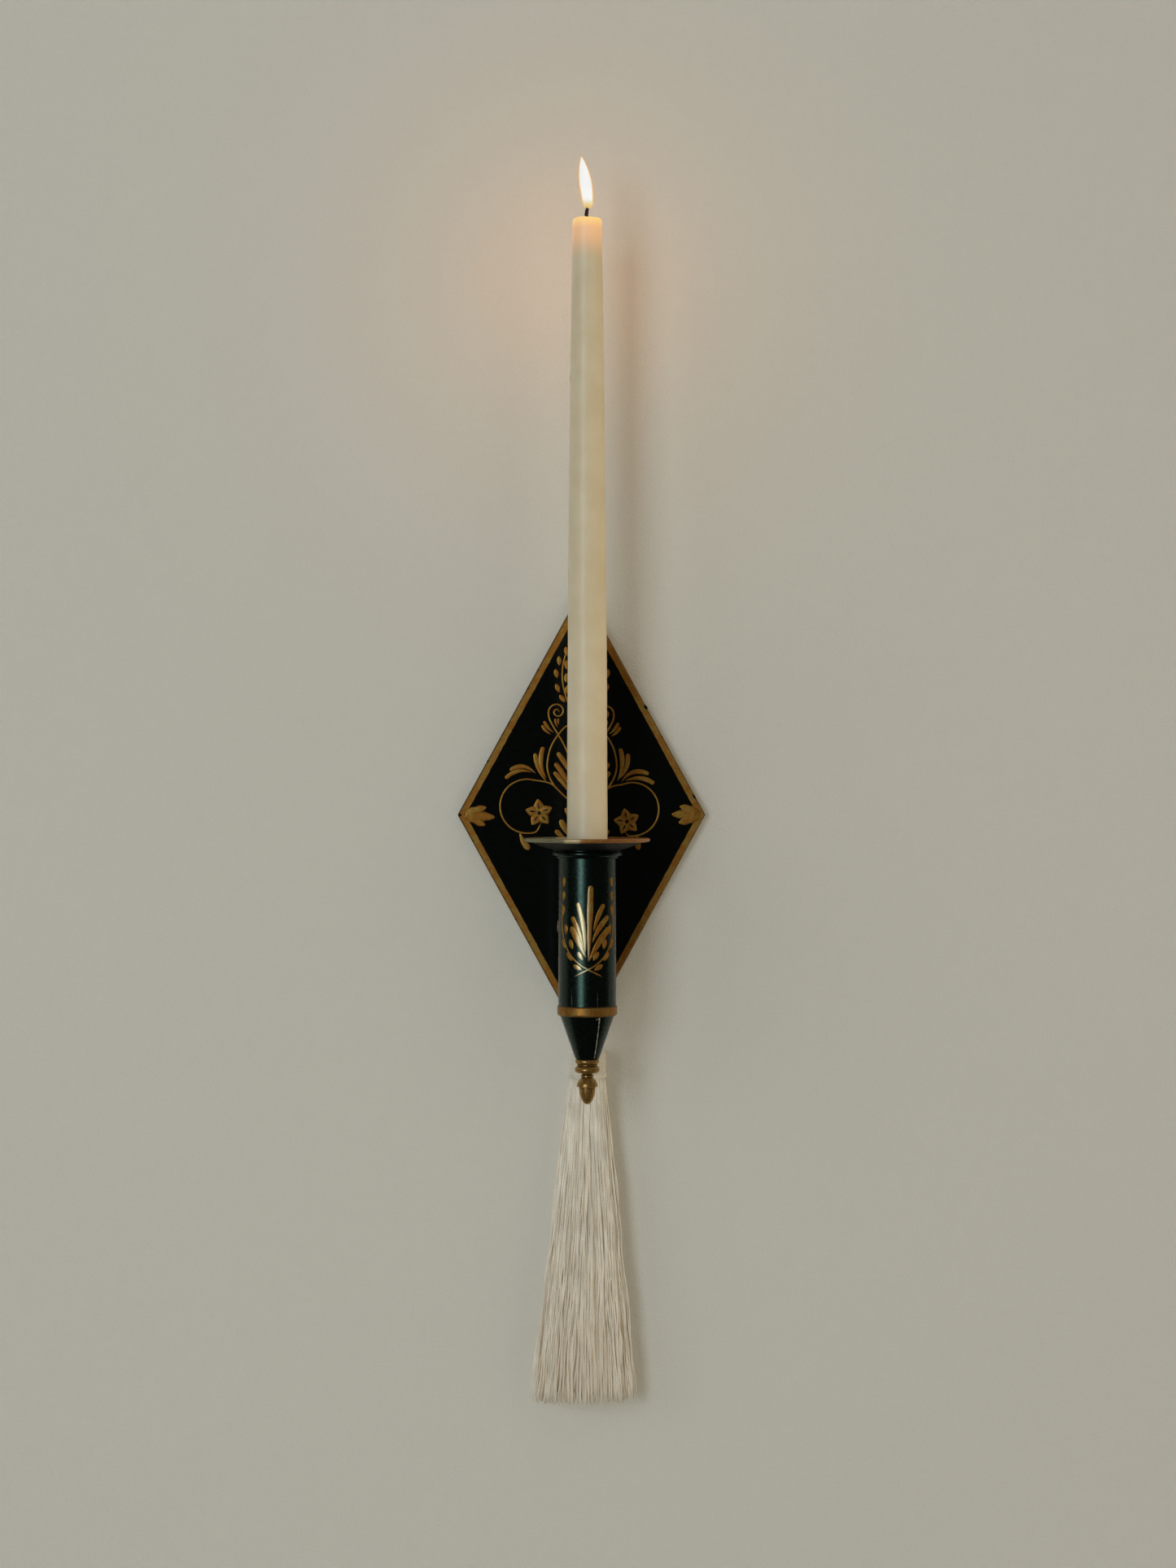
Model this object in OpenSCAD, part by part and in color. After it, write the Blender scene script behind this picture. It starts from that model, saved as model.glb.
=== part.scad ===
// Wall sconce candle holder: a painted sheet-metal diamond backplate carries a
// vertical tube on a short arm. The tube ends in a cone and a turned finial.
// A drip pan with a candle cup drops into the top of the tube and holds a
// taper candle. A thread tassel hangs from the backplate's bottom tip.
//
// Frame: +Z is up, the wall is the plane y = 0, and the sconce stands out
// towards -Y. The origin is the centre of the backplate, on the wall.

/* [Backplate] */
// Width of the diamond, corner to corner
plate_w = 140; // [120:1:160]
// Height of the diamond, corner to corner
plate_h = 255; // [230:1:280]
// Distance from the wall to the plate's front face
plate_depth = 7; // [7:0.5:9]
// Sheet thickness of the plate
plate_sheet = 1; // [0.8:0.1:1.2]
// Radius of the four corners
plate_corner_r = 1.2; // [0.8:0.1:2]
// Width of the chamfer round the front face
plate_chamfer = 0.8; // [0.4:0.1:1]
// Radius of the hanging hole near the top corner
hang_hole_r = 2.5; // [2:0.1:3]
// Height of the hanging hole above the centre
hang_hole_z = 112; // [105:1:114]

/* [Tube] */
// Outer radius of the tube
tube_r = 15.8; // [15:0.1:17]
// Sheet thickness of the tube and cone
tube_sheet = 0.8; // [0.6:0.1:1]
// Distance from the wall to the tube's axis
reach = 50; // [48:1:56]
// Height of the tube's upper edge
tube_top = -18.9; // [-19.2:0.1:-18.9]
// Height of the tube's lower edge
tube_bottom = -109; // [-112:0.5:-106]
// Height of the arm's axis
arm_z = -63; // [-70:1:-56]

/* [Candle] */
// Radius of the candle at its foot
candle_r = 11.1; // [10.8:0.1:11.1]
// Length of the candle without its wick
candle_len = 365; // [120:0.5:381]
// How much the candle's radius drops from foot to top
candle_drop = 3.1; // [2:0.1:4]
// Length of wick that stands above the wax
wick_out = 7; // [3:0.5:10]

/* [Drip pan] */
// Outer radius of the pan, over its wired rim
pan_r = 34.45; // [30:0.05:38]
// Radius of the wired rim's round edge
rim_r = 1.05; // [0.9:0.05:1.3]
// Depth from the rim's centre line to the pan's underside
pan_depth = 5.5; // [5:0.5:7]
// Inside radius of the candle cup
cup_r = 11.4; // [11.4:0.1:11.8]

/* [Tassel] */
// Radius of the tassel's head
head_r = 10.5; // [9:0.1:10.5]
// Height of the top of the tassel's head
head_top = -131.5; // [-133:0.1:-131.5]
// Height of the lower edge of the tassel's head
head_bottom = -147.8; // [-150:0.1:-146]
// Height of the ends of the skirt's threads
skirt_bottom = -329.5; // [-350:0.5:-250]
// Half width of the skirt at its lower end
skirt_half_w = 30; // [20:0.5:34]

/* [Hidden] */

$fn = 72;
solder_gap = 0.05;
through = 100;

half_w = plate_w / 2;
half_h = plate_h / 2;
side_len = sqrt(half_w * half_w + half_h * half_h);
in_r = half_w * half_h / side_len;
side_angle = atan(half_h / half_w);

stud_r = 2.5;
stud_clear_r = 2.65;
nut_bore_r = 2.52;
stud_nut_flats = 8;
thin_nut_h = 2.7;
inner_nut_h = 4;
back_washer_h = 1;
back_washer_r = 7.5;
inner_washer_r = 6;
rosette_r = 14;
rosette_h = 3.5;
sleeve_r = 6;
saddle_r = 8;
saddle_h = 3;
tube_in_r = tube_r - tube_sheet;
sleeve_end = reach - tube_r - saddle_h;
inner_seat = reach - tube_in_r + 2.5;
stud_front = inner_seat + inner_nut_h + 1;
stud_back = 1.6;

tie_r = 2;
tie_clear_r = 2.15;
tie_nut_bore_r = 2.02;
tie_nut_flats = 7;
tie_nut_h = 3.2;
cone_neck_top = tube_bottom + 9;
bridge_h = 1.2;
cone_top_r = 14.8;
cone_foot_r = 6.6;
cone_foot = tube_bottom - 23.8;
band_top = tube_bottom + 5.3;
band_r = 16.4;
band_lip = 0.4;
band_round_r = 1.4;
cone_gap = 0.15;

collar_foot = tube_top - 4.2;
collar_top = tube_top + 0.2;
collar_bead_r = 19.25;
collar_bead_half = 1.45;
collar_foot_r = 17.15;
collar_top_r = 18.7;

upper_bead_half = 1.65;
fine_bead_half = 0.45;
lower_bead_half = 1.95;
bead_core_r = 4.9;
finial_shoulder = cone_foot - 2 * (upper_bead_half + fine_bead_half + lower_bead_half);
finial_tip = finial_shoulder - 17.2;
finial_neck_r = 2.9;
finial_ring_r = 3.5;
acorn_cap_r = 5.7;
acorn_cap_edge = finial_shoulder - 7.5;
acorn_nut_r = 4.5;
finial_bore = 6.5;

pan_floor = collar_top;
pan_sheet = 0.8;
pan_flat_r = 18;
rim_centre_r = pan_r - rim_r;
rim_z = pan_floor + pan_depth;
brim_z = rim_z - 0.8;
rim_wire_r = 0.5;
rim_wire_gap = 0.03;
brim_flat = 2.4;
cup_wall = 0.8;
cup_out_r = cup_r + cup_wall;
cup_top = pan_floor + 5.2;
candle_foot = pan_floor - 19.3;
cup_floor_h = 1;
spigot_r = tube_in_r - 0.07;
spigot_wall = 0.75;
spigot_h = 5.3;

candle_top = candle_foot + candle_len;
candle_taper_power = 1.9;
candle_steps = 14;
melt_r = 5;
melt_depth = 1.5;
wick_r = 0.85;
wick_bore_r = 0.9;

cord_hole_z = -116.5;
cord_hole_r = 1.7;
cord_r = 1.2;
cord_bend_r = 1.35;
cord_bend_y = -(plate_depth + 1.7);
knot_r = 2.3;
knot_y = -3.5;
head_x = 2.5;
head_y = -11.5;
pivot_z = head_top + 1.9;
cord_end_r = 1.6;
binding_r = head_r + 0.6;
binding_h = 2.4;
skirt_top_half_w = 11.4;
skirt_top_half_d = 10.4;
skirt_foot_half_d = 13;
skirt_foot_x = 0.5;
skirt_disc_h = 0.5;

// ---- Helpers ----

// Points of an arc about [cx, cy], centred on angle mid
function arc_points(cx, cy, r, mid, spread, steps) = [
  for (i = [0 : steps])
    let (a = mid - spread + 2 * spread * i / steps)
      [cx + r * cos(a), cy + r * sin(a)]
];

// The diamond outline, drawn in by an even margin
module diamond(margin = 0) {
  k = 1 - margin / in_r;
  r = max(plate_corner_r - margin, 0.3);
  side_x = k * half_w - r / sin(side_angle);
  tip_y = k * half_h - r / cos(side_angle);
  side_spread = 90 - side_angle;
  polygon(concat(
    arc_points(side_x, 0, r, 0, side_spread, 4),
    arc_points(0, tip_y, r, 90, side_angle, 6),
    arc_points(-side_x, 0, r, 180, side_spread, 4),
    arc_points(0, -tip_y, r, 270, side_angle, 6)
  ));
}

// Stands a flat outline up in the XZ plane, from y = -from to y = -to
module stand_up(from, to) {
  translate([0, -from, 0])
    rotate([90, 0, 0])
      linear_extrude(height = to - from)
        children();
}

// A round bar along Y, from y = -from to y = -to, at height z
module bar_y(from, to, r, z) {
  translate([0, -from, z])
    rotate([90, 0, 0])
      cylinder(h = to - from, r = r);
}

// A hexagon bar along Y, measured across its flats
module hex_y(from, to, flats, z) {
  translate([0, -from, z])
    rotate([90, 0, 0])
      cylinder(h = to - from, r = flats / 2 / cos(30), $fn = 6);
}

// A ring along Y with a plain bore
module washer_y(from, to, r, bore_r, z) {
  difference() {
    bar_y(from, to, r, z);
    bar_y(from - 1, to + 1, bore_r, z);
  }
}

// A hexagon nut along Y
module nut_y(from, to, flats, bore_r, z) {
  difference() {
    hex_y(from, to, flats, z);
    bar_y(from - 1, to + 1, bore_r, z);
  }
}

// Moves a shape onto the tube's axis
module on_tube() {
  translate([0, -reach, 0])
    children();
}

// A tube about the tube's axis between two heights
module ring_z(low, high, r, bore_r) {
  on_tube()
    translate([0, 0, low])
      difference() {
        cylinder(h = high - low, r = r);
        translate([0, 0, -1])
          cylinder(h = high - low + 2, r = bore_r);
      }
}

// A straight round bar between two points
module rod(p, q, r) {
  d = q - p;
  len = norm(d);
  translate(p)
    rotate([0, acos(d[2] / len), atan2(d[1], d[0])])
      cylinder(h = len, r = r, $fn = 32);
}

// ---- Backplate and arm ----

module backplate() {
  front = plate_depth;
  color([0.03, 0.05, 0.045])
    difference() {
      union() {
        stand_up(0, front - plate_chamfer)
          diamond();
        translate([0, -(front - plate_chamfer), 0])
          rotate([90, 0, 0])
            linear_extrude(height = plate_chamfer, scale = 1 - plate_chamfer / in_r)
              diamond();
      }
      stand_up(-1, front - plate_sheet)
        diamond(plate_sheet);
      bar_y(0, front + 1, hang_hole_r, hang_hole_z);
      bar_y(0, front + 1, cord_hole_r, cord_hole_z);
      bar_y(0, front + 1, stud_clear_r, arm_z);
    }
}

// Domed cover disc between the plate and the arm
module rosette() {
  step_r = rosette_r - 4;
  color([0.55, 0.42, 0.16])
    translate([0, -plate_depth, arm_z])
      rotate([90, 0, 0])
        rotate_extrude()
          polygon([
            [stud_clear_r, 0], [rosette_r, 0], [rosette_r, 1],
            [step_r + 1.5, 1.8], [step_r, 2.9], [step_r - 1.5, rosette_h],
            [stud_clear_r, rosette_h]
          ]);
}

module arm_sleeve() {
  color([0.03, 0.05, 0.045])
    washer_y(plate_depth + rosette_h, sleeve_end, sleeve_r, stud_clear_r, arm_z);
}

// Seat hollowed to the tube's round back
module arm_saddle() {
  color([0.03, 0.05, 0.045])
    difference() {
      washer_y(sleeve_end, sleeve_end + saddle_h + 3, saddle_r, stud_clear_r, arm_z);
      on_tube()
        translate([0, 0, arm_z - through / 2])
          cylinder(h = through, r = tube_r + solder_gap);
    }
}

module arm_stud() {
  color([0.6, 0.6, 0.6])
    bar_y(stud_back, stud_front, stud_r, arm_z);
}

module back_washer() {
  back = plate_depth - plate_sheet;
  color([0.6, 0.6, 0.6])
    washer_y(back - back_washer_h, back, back_washer_r, stud_clear_r, arm_z);
}

module back_nut() {
  seat = plate_depth - plate_sheet - back_washer_h;
  color([0.6, 0.6, 0.6])
    nut_y(seat - thin_nut_h, seat, stud_nut_flats, nut_bore_r, arm_z);
}

// Washer whose back follows the tube's inner wall
module inner_washer() {
  color([0.6, 0.6, 0.6])
    intersection() {
      washer_y(reach - tube_r, inner_seat, inner_washer_r, stud_clear_r, arm_z);
      on_tube()
        translate([0, 0, arm_z - through / 2])
          cylinder(h = through, r = tube_in_r - solder_gap);
    }
}

module inner_nut() {
  color([0.6, 0.6, 0.6])
    nut_y(inner_seat, inner_seat + inner_nut_h, stud_nut_flats, nut_bore_r, arm_z);
}

// ---- Tube, cone and finial ----

module sconce_tube() {
  color([0.03, 0.05, 0.045])
    difference() {
      ring_z(tube_bottom, tube_top, tube_r, tube_in_r);
      bar_y(reach - tube_r - 1, reach - tube_in_r + 1, stud_clear_r, arm_z);
    }
}

// Turned collar: a large bead between two narrow steps
module collar_ring() {
  in_edge = tube_r + solder_gap;
  bead_mid = collar_foot + 2.3;
  bead_top = bead_mid + collar_bead_half;
  bead = arc_points(collar_bead_r - collar_bead_half, bead_mid, collar_bead_half, 0, 75, 10);
  color([0.05, 0.07, 0.06])
    on_tube()
      rotate_extrude()
        polygon(concat(
          [[in_edge, collar_foot], [collar_foot_r, collar_foot]],
          [[collar_foot_r + 0.3, bead_mid - collar_bead_half]],
          bead,
          [[collar_top_r - 0.5, bead_top], [collar_top_r, bead_top + 0.3]],
          [[collar_top_r, collar_top - 0.2], [collar_top_r - 0.2, collar_top], [in_edge, collar_top]]
        ));
}

// Band round the tube's foot with rounded edges, and a lip turned under it
module gold_band() {
  in_edge = tube_r + solder_gap;
  lip_edge = cone_top_r + cone_gap;
  foot = tube_bottom - band_lip;
  arc_x = band_r - band_round_r;
  lower = arc_points(arc_x, foot + band_round_r, band_round_r, -45, 45, 6);
  upper_turn = 50;
  upper_z = band_top - band_round_r * sin(upper_turn);
  upper = arc_points(arc_x, upper_z, band_round_r, upper_turn / 2, upper_turn / 2, 6);
  color([0.7, 0.52, 0.18])
    on_tube()
      rotate_extrude()
        polygon(concat(
          [[lip_edge, foot]],
          lower, upper,
          [[in_edge, band_top], [in_edge, tube_bottom], [lip_edge, tube_bottom]]
        ));
}

// Hollow cone with a straight neck that sits inside the tube
module tail_cone() {
  neck_r = tube_in_r - solder_gap;
  floor_top = cone_foot + tube_sheet;
  color([0.03, 0.05, 0.045])
    on_tube()
      rotate_extrude()
        polygon([
          [tie_clear_r, cone_foot], [cone_foot_r, cone_foot],
          [cone_top_r, tube_bottom - band_lip], [cone_top_r, tube_bottom],
          [neck_r, tube_bottom + 0.2], [neck_r, cone_neck_top],
          [neck_r - tube_sheet, cone_neck_top],
          [neck_r - tube_sheet, tube_bottom], [cone_foot_r - tube_sheet, floor_top],
          [tie_clear_r, floor_top]
        ]);
}

// Disc across the top of the cone's neck, which the tie rod pulls on
module bridge_disc() {
  color([0.6, 0.6, 0.6])
    ring_z(cone_neck_top, cone_neck_top + bridge_h, tube_in_r - solder_gap, tie_clear_r);
}

module tie_rod() {
  nut_top = cone_neck_top + bridge_h + tie_nut_h;
  low = finial_shoulder - finial_bore + 1;
  color([0.6, 0.6, 0.6])
    on_tube()
      translate([0, 0, low])
        cylinder(h = nut_top + 1 - low, r = tie_r);
}

module tie_nut() {
  color([0.6, 0.6, 0.6])
    on_tube()
      translate([0, 0, cone_neck_top + bridge_h])
        difference() {
          cylinder(h = tie_nut_h, r = tie_nut_flats / 2 / cos(30), $fn = 6);
          translate([0, 0, -1])
            cylinder(h = tie_nut_h + 2, r = tie_nut_bore_r);
        }
}

// Two large beads with a fine one between them
module bead_collar() {
  upper_z = cone_foot - upper_bead_half;
  fine_z = upper_z - upper_bead_half - fine_bead_half;
  lower_z = finial_shoulder + lower_bead_half;
  upper = arc_points(bead_core_r, upper_z, upper_bead_half, 0, 90, 12);
  fine = arc_points(bead_core_r + 0.2, fine_z, fine_bead_half, 0, 90, 8);
  lower = arc_points(bead_core_r, lower_z, lower_bead_half, 0, 90, 12);
  color([0.55, 0.38, 0.14])
    on_tube()
      rotate_extrude()
        polygon(concat(
          [[tie_clear_r, finial_shoulder]],
          lower, fine, upper,
          [[tie_clear_r, cone_foot]]
        ));
}

// Turned acorn: ringed neck, flared cap and pointed nut, bored for the rod
module acorn_finial() {
  top = finial_shoulder;
  cap_top_r = 3.1;
  cap_top = top - 2.4;
  cap_drop = 4.4;
  nut_len = acorn_cap_edge - finial_tip;
  neck = [
    [0, top], [finial_neck_r, top], [finial_neck_r - 0.1, top - 0.9],
    [finial_ring_r, top - 1.2], [finial_ring_r, top - 1.9]
  ];
  cap = [
    for (i = [0 : 8])
      let (t = i / 8)
        [cap_top_r + (acorn_cap_r - cap_top_r) * sin(90 * t), cap_top - cap_drop * t]
  ];
  cap_lip = [[acorn_cap_r, acorn_cap_edge + 0.2], [acorn_cap_r - 0.2, acorn_cap_edge]];
  nut = [
    for (i = [0 : 11])
      let (a = 90 * i / 12)
        [acorn_nut_r * cos(a), acorn_cap_edge - nut_len * sin(a)]
  ];
  color([0.55, 0.38, 0.14])
    on_tube()
      difference() {
        rotate_extrude()
          polygon(concat(neck, cap, cap_lip, nut, [[0, finial_tip]]));
        translate([0, 0, top - finial_bore])
          cylinder(h = finial_bore + 1, r = tie_nut_bore_r);
      }
}

// ---- Drip pan and candle cup ----

// Height of the pan's underside at a radius: flat, then a smooth rise to the brim
function pan_under(r) =
  let (u = max(0, min(1, (r - pan_flat_r) / (rim_centre_r - brim_flat - pan_flat_r))))
    pan_floor + (brim_z - pan_sheet / 2 - pan_floor) * pow(u, 1.3);

module drip_pan() {
  hole_r = cup_out_r + solder_gap / 2;
  steps = 10;
  edge = rim_centre_r - 0.7;
  under = [
    for (i = [0 : steps])
      let (r = pan_flat_r + (edge - pan_flat_r) * i / steps)
        [r, pan_under(r)]
  ];
  over = [
    for (i = [steps : -1 : 0])
      let (r = pan_flat_r + (edge - pan_flat_r) * i / steps)
        [r, pan_under(r) + pan_sheet]
  ];
  color([0.5, 0.38, 0.2])
    on_tube()
      rotate_extrude()
        difference() {
          union() {
            polygon(concat([[hole_r, pan_floor]], under, over, [[hole_r, pan_floor + pan_sheet]]));
            translate([rim_centre_r, rim_z])
              circle(r = rim_r, $fn = 32);
          }
          translate([rim_centre_r, rim_z])
            circle(r = rim_wire_r + rim_wire_gap, $fn = 32);
        }
}

// Stiffening wire inside the pan's rolled rim
module rim_wire() {
  color([0.5, 0.5, 0.5])
    on_tube()
      rotate_extrude()
        translate([rim_centre_r, rim_z])
          circle(r = rim_wire_r, $fn = 24);
}

module candle_cup() {
  color([0.5, 0.38, 0.2])
    ring_z(candle_foot, cup_top, cup_out_r, cup_r);
}

module cup_floor() {
  color([0.5, 0.38, 0.2])
    on_tube()
      translate([0, 0, candle_foot - cup_floor_h])
        cylinder(h = cup_floor_h, r = cup_out_r);
}

// Ring under the pan that centres it in the tube
module spigot_ring() {
  color([0.5, 0.38, 0.2])
    ring_z(pan_floor - spigot_h, pan_floor, spigot_r, spigot_r - spigot_wall);
}

// ---- Candle ----

// Radius of the candle at a share of its height
function candle_radius(t) = candle_r - candle_drop * pow(t, candle_taper_power);

module candle() {
  side = [
    for (i = [0 : candle_steps])
      let (t = i / candle_steps)
        [candle_radius(t), candle_foot + candle_len * t]
  ];
  color([0.9, 0.86, 0.76])
    on_tube()
      rotate_extrude()
        polygon(concat(
          [[wick_bore_r, candle_foot]],
          side,
          [[melt_r, candle_top], [melt_r * 0.7, candle_top - melt_depth * 0.8]],
          [[wick_bore_r, candle_top - melt_depth]]
        ));
}

module wick() {
  color([0.1, 0.09, 0.08])
    on_tube()
      translate([0, 0, candle_foot])
        cylinder(h = candle_len + wick_out, r = wick_r, $fn = 24);
}

// ---- Tassel ----

// Cord with a knot behind the plate, bent down in front of it to the tassel
module tassel_cord() {
  knot = [0, knot_y, cord_hole_z];
  bend = [0, cord_bend_y, cord_hole_z];
  pivot = [head_x, head_y, pivot_z];
  color([0.85, 0.82, 0.74])
    union() {
      translate(knot)
        sphere(r = knot_r, $fn = 32);
      rod(knot, bend, cord_r);
      translate(bend)
        sphere(r = cord_bend_r, $fn = 32);
      rod(bend, pivot, cord_r);
      translate(pivot)
        sphere(r = cord_end_r, $fn = 32);
    }
}

// Wrapped head with a rounded shoulder
module tassel_head() {
  shoulder = arc_points(head_r - 3, head_top - 3, 3, 45, 45, 8);
  color([0.85, 0.82, 0.74])
    translate([head_x, head_y, 0])
      rotate_extrude()
        polygon(concat(
          [[0, head_bottom], [head_r, head_bottom]],
          shoulder,
          [[0, head_top]]
        ));
}

// Wound thread band round the head's lower edge
module neck_binding() {
  edge = arc_points(binding_r - 0.55, head_bottom + binding_h / 2, binding_h / 2, 0, 80, 8);
  color([0.85, 0.82, 0.74])
    translate([head_x, head_y, 0])
      rotate_extrude()
        polygon(concat(
          [[head_r + solder_gap, head_bottom]],
          [for (p = edge) [min(p[0], binding_r), p[1]]],
          [[head_r + solder_gap, head_bottom + binding_h]]
        ));
}

// One end of the skirt's outline
module skirt_end(x, y, z, half_x, half_y) {
  translate([x, y, z])
    scale([half_x, half_y, 1])
      cylinder(h = skirt_disc_h, r = 1, $fn = 48);
}

// The bundle of loose threads as one closed shape
module tassel_skirt() {
  foot_y = -(skirt_foot_half_d + 1);
  color([0.85, 0.82, 0.74])
    hull() {
      skirt_end(head_x, head_y, head_bottom - skirt_disc_h, skirt_top_half_w, skirt_top_half_d);
      skirt_end(skirt_foot_x, foot_y, skirt_bottom, skirt_half_w, skirt_foot_half_d);
    }
}

backplate();
rosette();
arm_sleeve();
arm_saddle();
arm_stud();
back_washer();
back_nut();
inner_washer();
inner_nut();
sconce_tube();
collar_ring();
gold_band();
tail_cone();
bridge_disc();
tie_rod();
tie_nut();
bead_collar();
acorn_finial();
drip_pan();
rim_wire();
candle_cup();
cup_floor();
spigot_ring();
candle();
wick();
tassel_cord();
tassel_head();
neck_binding();
tassel_skirt();
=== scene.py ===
"""Wall sconce candle holder: looks, light and camera round the fixed CAD frame.

Shapes are worked out in millimetres and become metres as they are made; the
stage and the lights are in metres. +Z is up, the wall is y = 0 and the sconce
stands out towards -Y.
"""
import math
import random

import bpy
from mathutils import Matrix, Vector, noise


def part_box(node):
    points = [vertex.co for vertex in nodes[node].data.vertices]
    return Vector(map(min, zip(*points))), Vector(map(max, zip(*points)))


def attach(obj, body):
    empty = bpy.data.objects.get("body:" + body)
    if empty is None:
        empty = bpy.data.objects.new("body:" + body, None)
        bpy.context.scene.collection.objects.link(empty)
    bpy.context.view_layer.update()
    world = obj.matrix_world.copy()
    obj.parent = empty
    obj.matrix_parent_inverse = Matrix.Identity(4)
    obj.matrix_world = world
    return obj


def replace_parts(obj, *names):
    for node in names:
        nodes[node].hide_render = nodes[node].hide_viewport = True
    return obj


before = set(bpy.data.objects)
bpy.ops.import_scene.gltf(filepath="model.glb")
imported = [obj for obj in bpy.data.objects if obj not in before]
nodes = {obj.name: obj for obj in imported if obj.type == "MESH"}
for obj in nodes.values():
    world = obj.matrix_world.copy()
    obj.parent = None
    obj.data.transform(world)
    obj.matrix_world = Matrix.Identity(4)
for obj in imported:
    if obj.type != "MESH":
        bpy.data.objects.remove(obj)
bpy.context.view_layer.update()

# ---- Sizes worked out from the frame, in millimetres ----

MM = 0.001


def mm(x, y, z):
    """A point in metres from millimetres."""
    return Vector((x * MM, y * MM, z * MM))


def box_mm(node):
    """Lowest and highest corner of a CAD node, in millimetres."""
    low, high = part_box(node)
    return low / MM, high / MM


plate_low, _ = box_mm("backplate")
tube_low, tube_high = box_mm("sconce_tube")
_, pan_high = box_mm("drip_pan")
candle_low, candle_high = box_mm("candle")
_, wick_high = box_mm("wick")
head_low, head_high = box_mm("tassel_head")
skirt_low, skirt_high = box_mm("tassel_skirt")
cone_low, _ = box_mm("tail_cone")
band_low, band_high = box_mm("gold_band")

# The diamond's sharp corners, before they are rounded, and its inscribed radius.
PLATE_HALF_W = 70.0
PLATE_HALF_H = 127.5
PLATE_IN_R = PLATE_HALF_W * PLATE_HALF_H / math.hypot(PLATE_HALF_W, PLATE_HALF_H)
PLATE_FRONT = -plate_low.y
PLATE_SHEET = 0.9
TUBE_R = (tube_high.x - tube_low.x) / 2
AXIS_Y = (tube_low.y + tube_high.y) / 2
CANDLE_R = (candle_high.x - candle_low.x) / 2
# How much thinner the candle is at its top, and how late it thins.
CANDLE_DROP = 3.1
CANDLE_POWER = 1.9
CONE_TOP_R = 14.8
CONE_FOOT_R = 6.6
PAN_RIM_R = 31.4
HEAD_X = (head_low.x + head_high.x) / 2
HEAD_Y = (head_low.y + head_high.y) / 2

# ---- Node tree helpers ----


class Shader:
    """A principled material with short calls for the nodes that it needs."""

    def __init__(self, name):
        self.material = bpy.data.materials.new(name)
        self.material.use_nodes = True
        self.tree = self.material.node_tree
        self.bsdf = self.tree.nodes["Principled BSDF"]
        self.output = self.tree.nodes["Material Output"]
        self.where = self.tree.nodes.new("ShaderNodeTexCoord").outputs["Object"]

    def set(self, **sockets):
        """Sets constant values on the principled shader."""
        for name, value in sockets.items():
            self.bsdf.inputs[name.replace("_", " ")].default_value = value

    def feed(self, socket, source):
        """Links a node's output to the principled shader."""
        self.tree.links.new(source, self.bsdf.inputs[socket])

    def node(self, kind, inputs=(), **settings):
        """Adds a node, with inputs as (socket, value or output) pairs."""
        made = self.tree.nodes.new("ShaderNode" + kind)
        for key, value in settings.items():
            setattr(made, key, value)
        for socket, value in inputs:
            if isinstance(value, bpy.types.NodeSocket):
                self.tree.links.new(value, made.inputs[socket])
            else:
                made.inputs[socket].default_value = value
        return made

    def math(self, operation, a, b=0.0):
        """One step of arithmetic on two numbers or outputs."""
        return self.node("Math", [(0, a), (1, b)], operation=operation).outputs[0]

    def noise(self, per_mm, detail=3.0, rough=0.55, stretch=None):
        """Noise whose cells are about 1 / per_mm millimetres wide."""
        where = self.where
        if stretch:
            where = self.node("Mapping", [("Vector", where), ("Scale", stretch)]).outputs[0]
        inputs = [("Vector", where), ("Scale", per_mm / MM), ("Detail", detail), ("Roughness", rough)]
        return self.node("TexNoise", inputs).outputs["Fac"]

    def ramp(self, value, low, high, start=0.0, end=1.0):
        """Maps low..high to start..end, clamped and smooth."""
        inputs = [("Value", value), ("From Min", low), ("From Max", high),
                  ("To Min", start), ("To Max", end)]
        return self.node("MapRange", inputs, interpolation_type="SMOOTHSTEP").outputs[0]

    def blend(self, factor, a, b):
        """Mixes two colours, each a tuple or an output."""
        a = (*a, 1.0) if isinstance(a, tuple) else a
        b = (*b, 1.0) if isinstance(b, tuple) else b
        made = self.node("Mix", data_type="RGBA")
        for socket, value in ((made.inputs[0], factor), (made.inputs[6], a), (made.inputs[7], b)):
            if isinstance(value, bpy.types.NodeSocket):
                self.tree.links.new(value, socket)
            else:
                socket.default_value = value
        return made.outputs[2]

    def axes(self):
        """The object coordinates as three outputs, in metres."""
        return self.node("SeparateXYZ", [(0, self.where)]).outputs

    def bump(self, height, depth_mm, strength=1.0):
        """Small relief from a height between 0 and 1."""
        made = self.node("Bump", [("Height", height), ("Distance", depth_mm * MM), ("Strength", strength)])
        self.feed("Normal", made.outputs[0])


# ---- Materials ----

LACQUER = (0.0009, 0.0015, 0.0009)
LACQUER_WORN = (0.0018, 0.0026, 0.0014)
DUST = (0.007, 0.007, 0.004)
BRONZE = (0.350, 0.195, 0.038)
BRONZE_DARK = (0.330, 0.128, 0.018)
BRONZE_PALE = (0.520, 0.350, 0.110)
# Pale gilt: worn gilding on the pan's rim, and a painted highlight on the tube's strokes.
WORN_GILT_AND_HIGHLIGHT = (0.760, 0.660, 0.400)
# Across the tube, in millimetres, where the painted highlight on its strokes is centred.
HIGHLIGHT_X = -3.4
BORDER_W = 3.85


def lacquer_coat(shader, colour):
    """Colour of the lacquer with its rubbed patches and specks of dust."""
    rubbed = shader.ramp(shader.noise(0.12, 4.0, 0.6), 0.56, 0.78)
    dust = shader.ramp(shader.noise(2.6, 2.0, 0.5), 0.68, 0.80, 0.0, 0.4)
    colour = shader.blend(rubbed, colour, LACQUER_WORN)
    return shader.blend(dust, colour, DUST)


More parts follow.
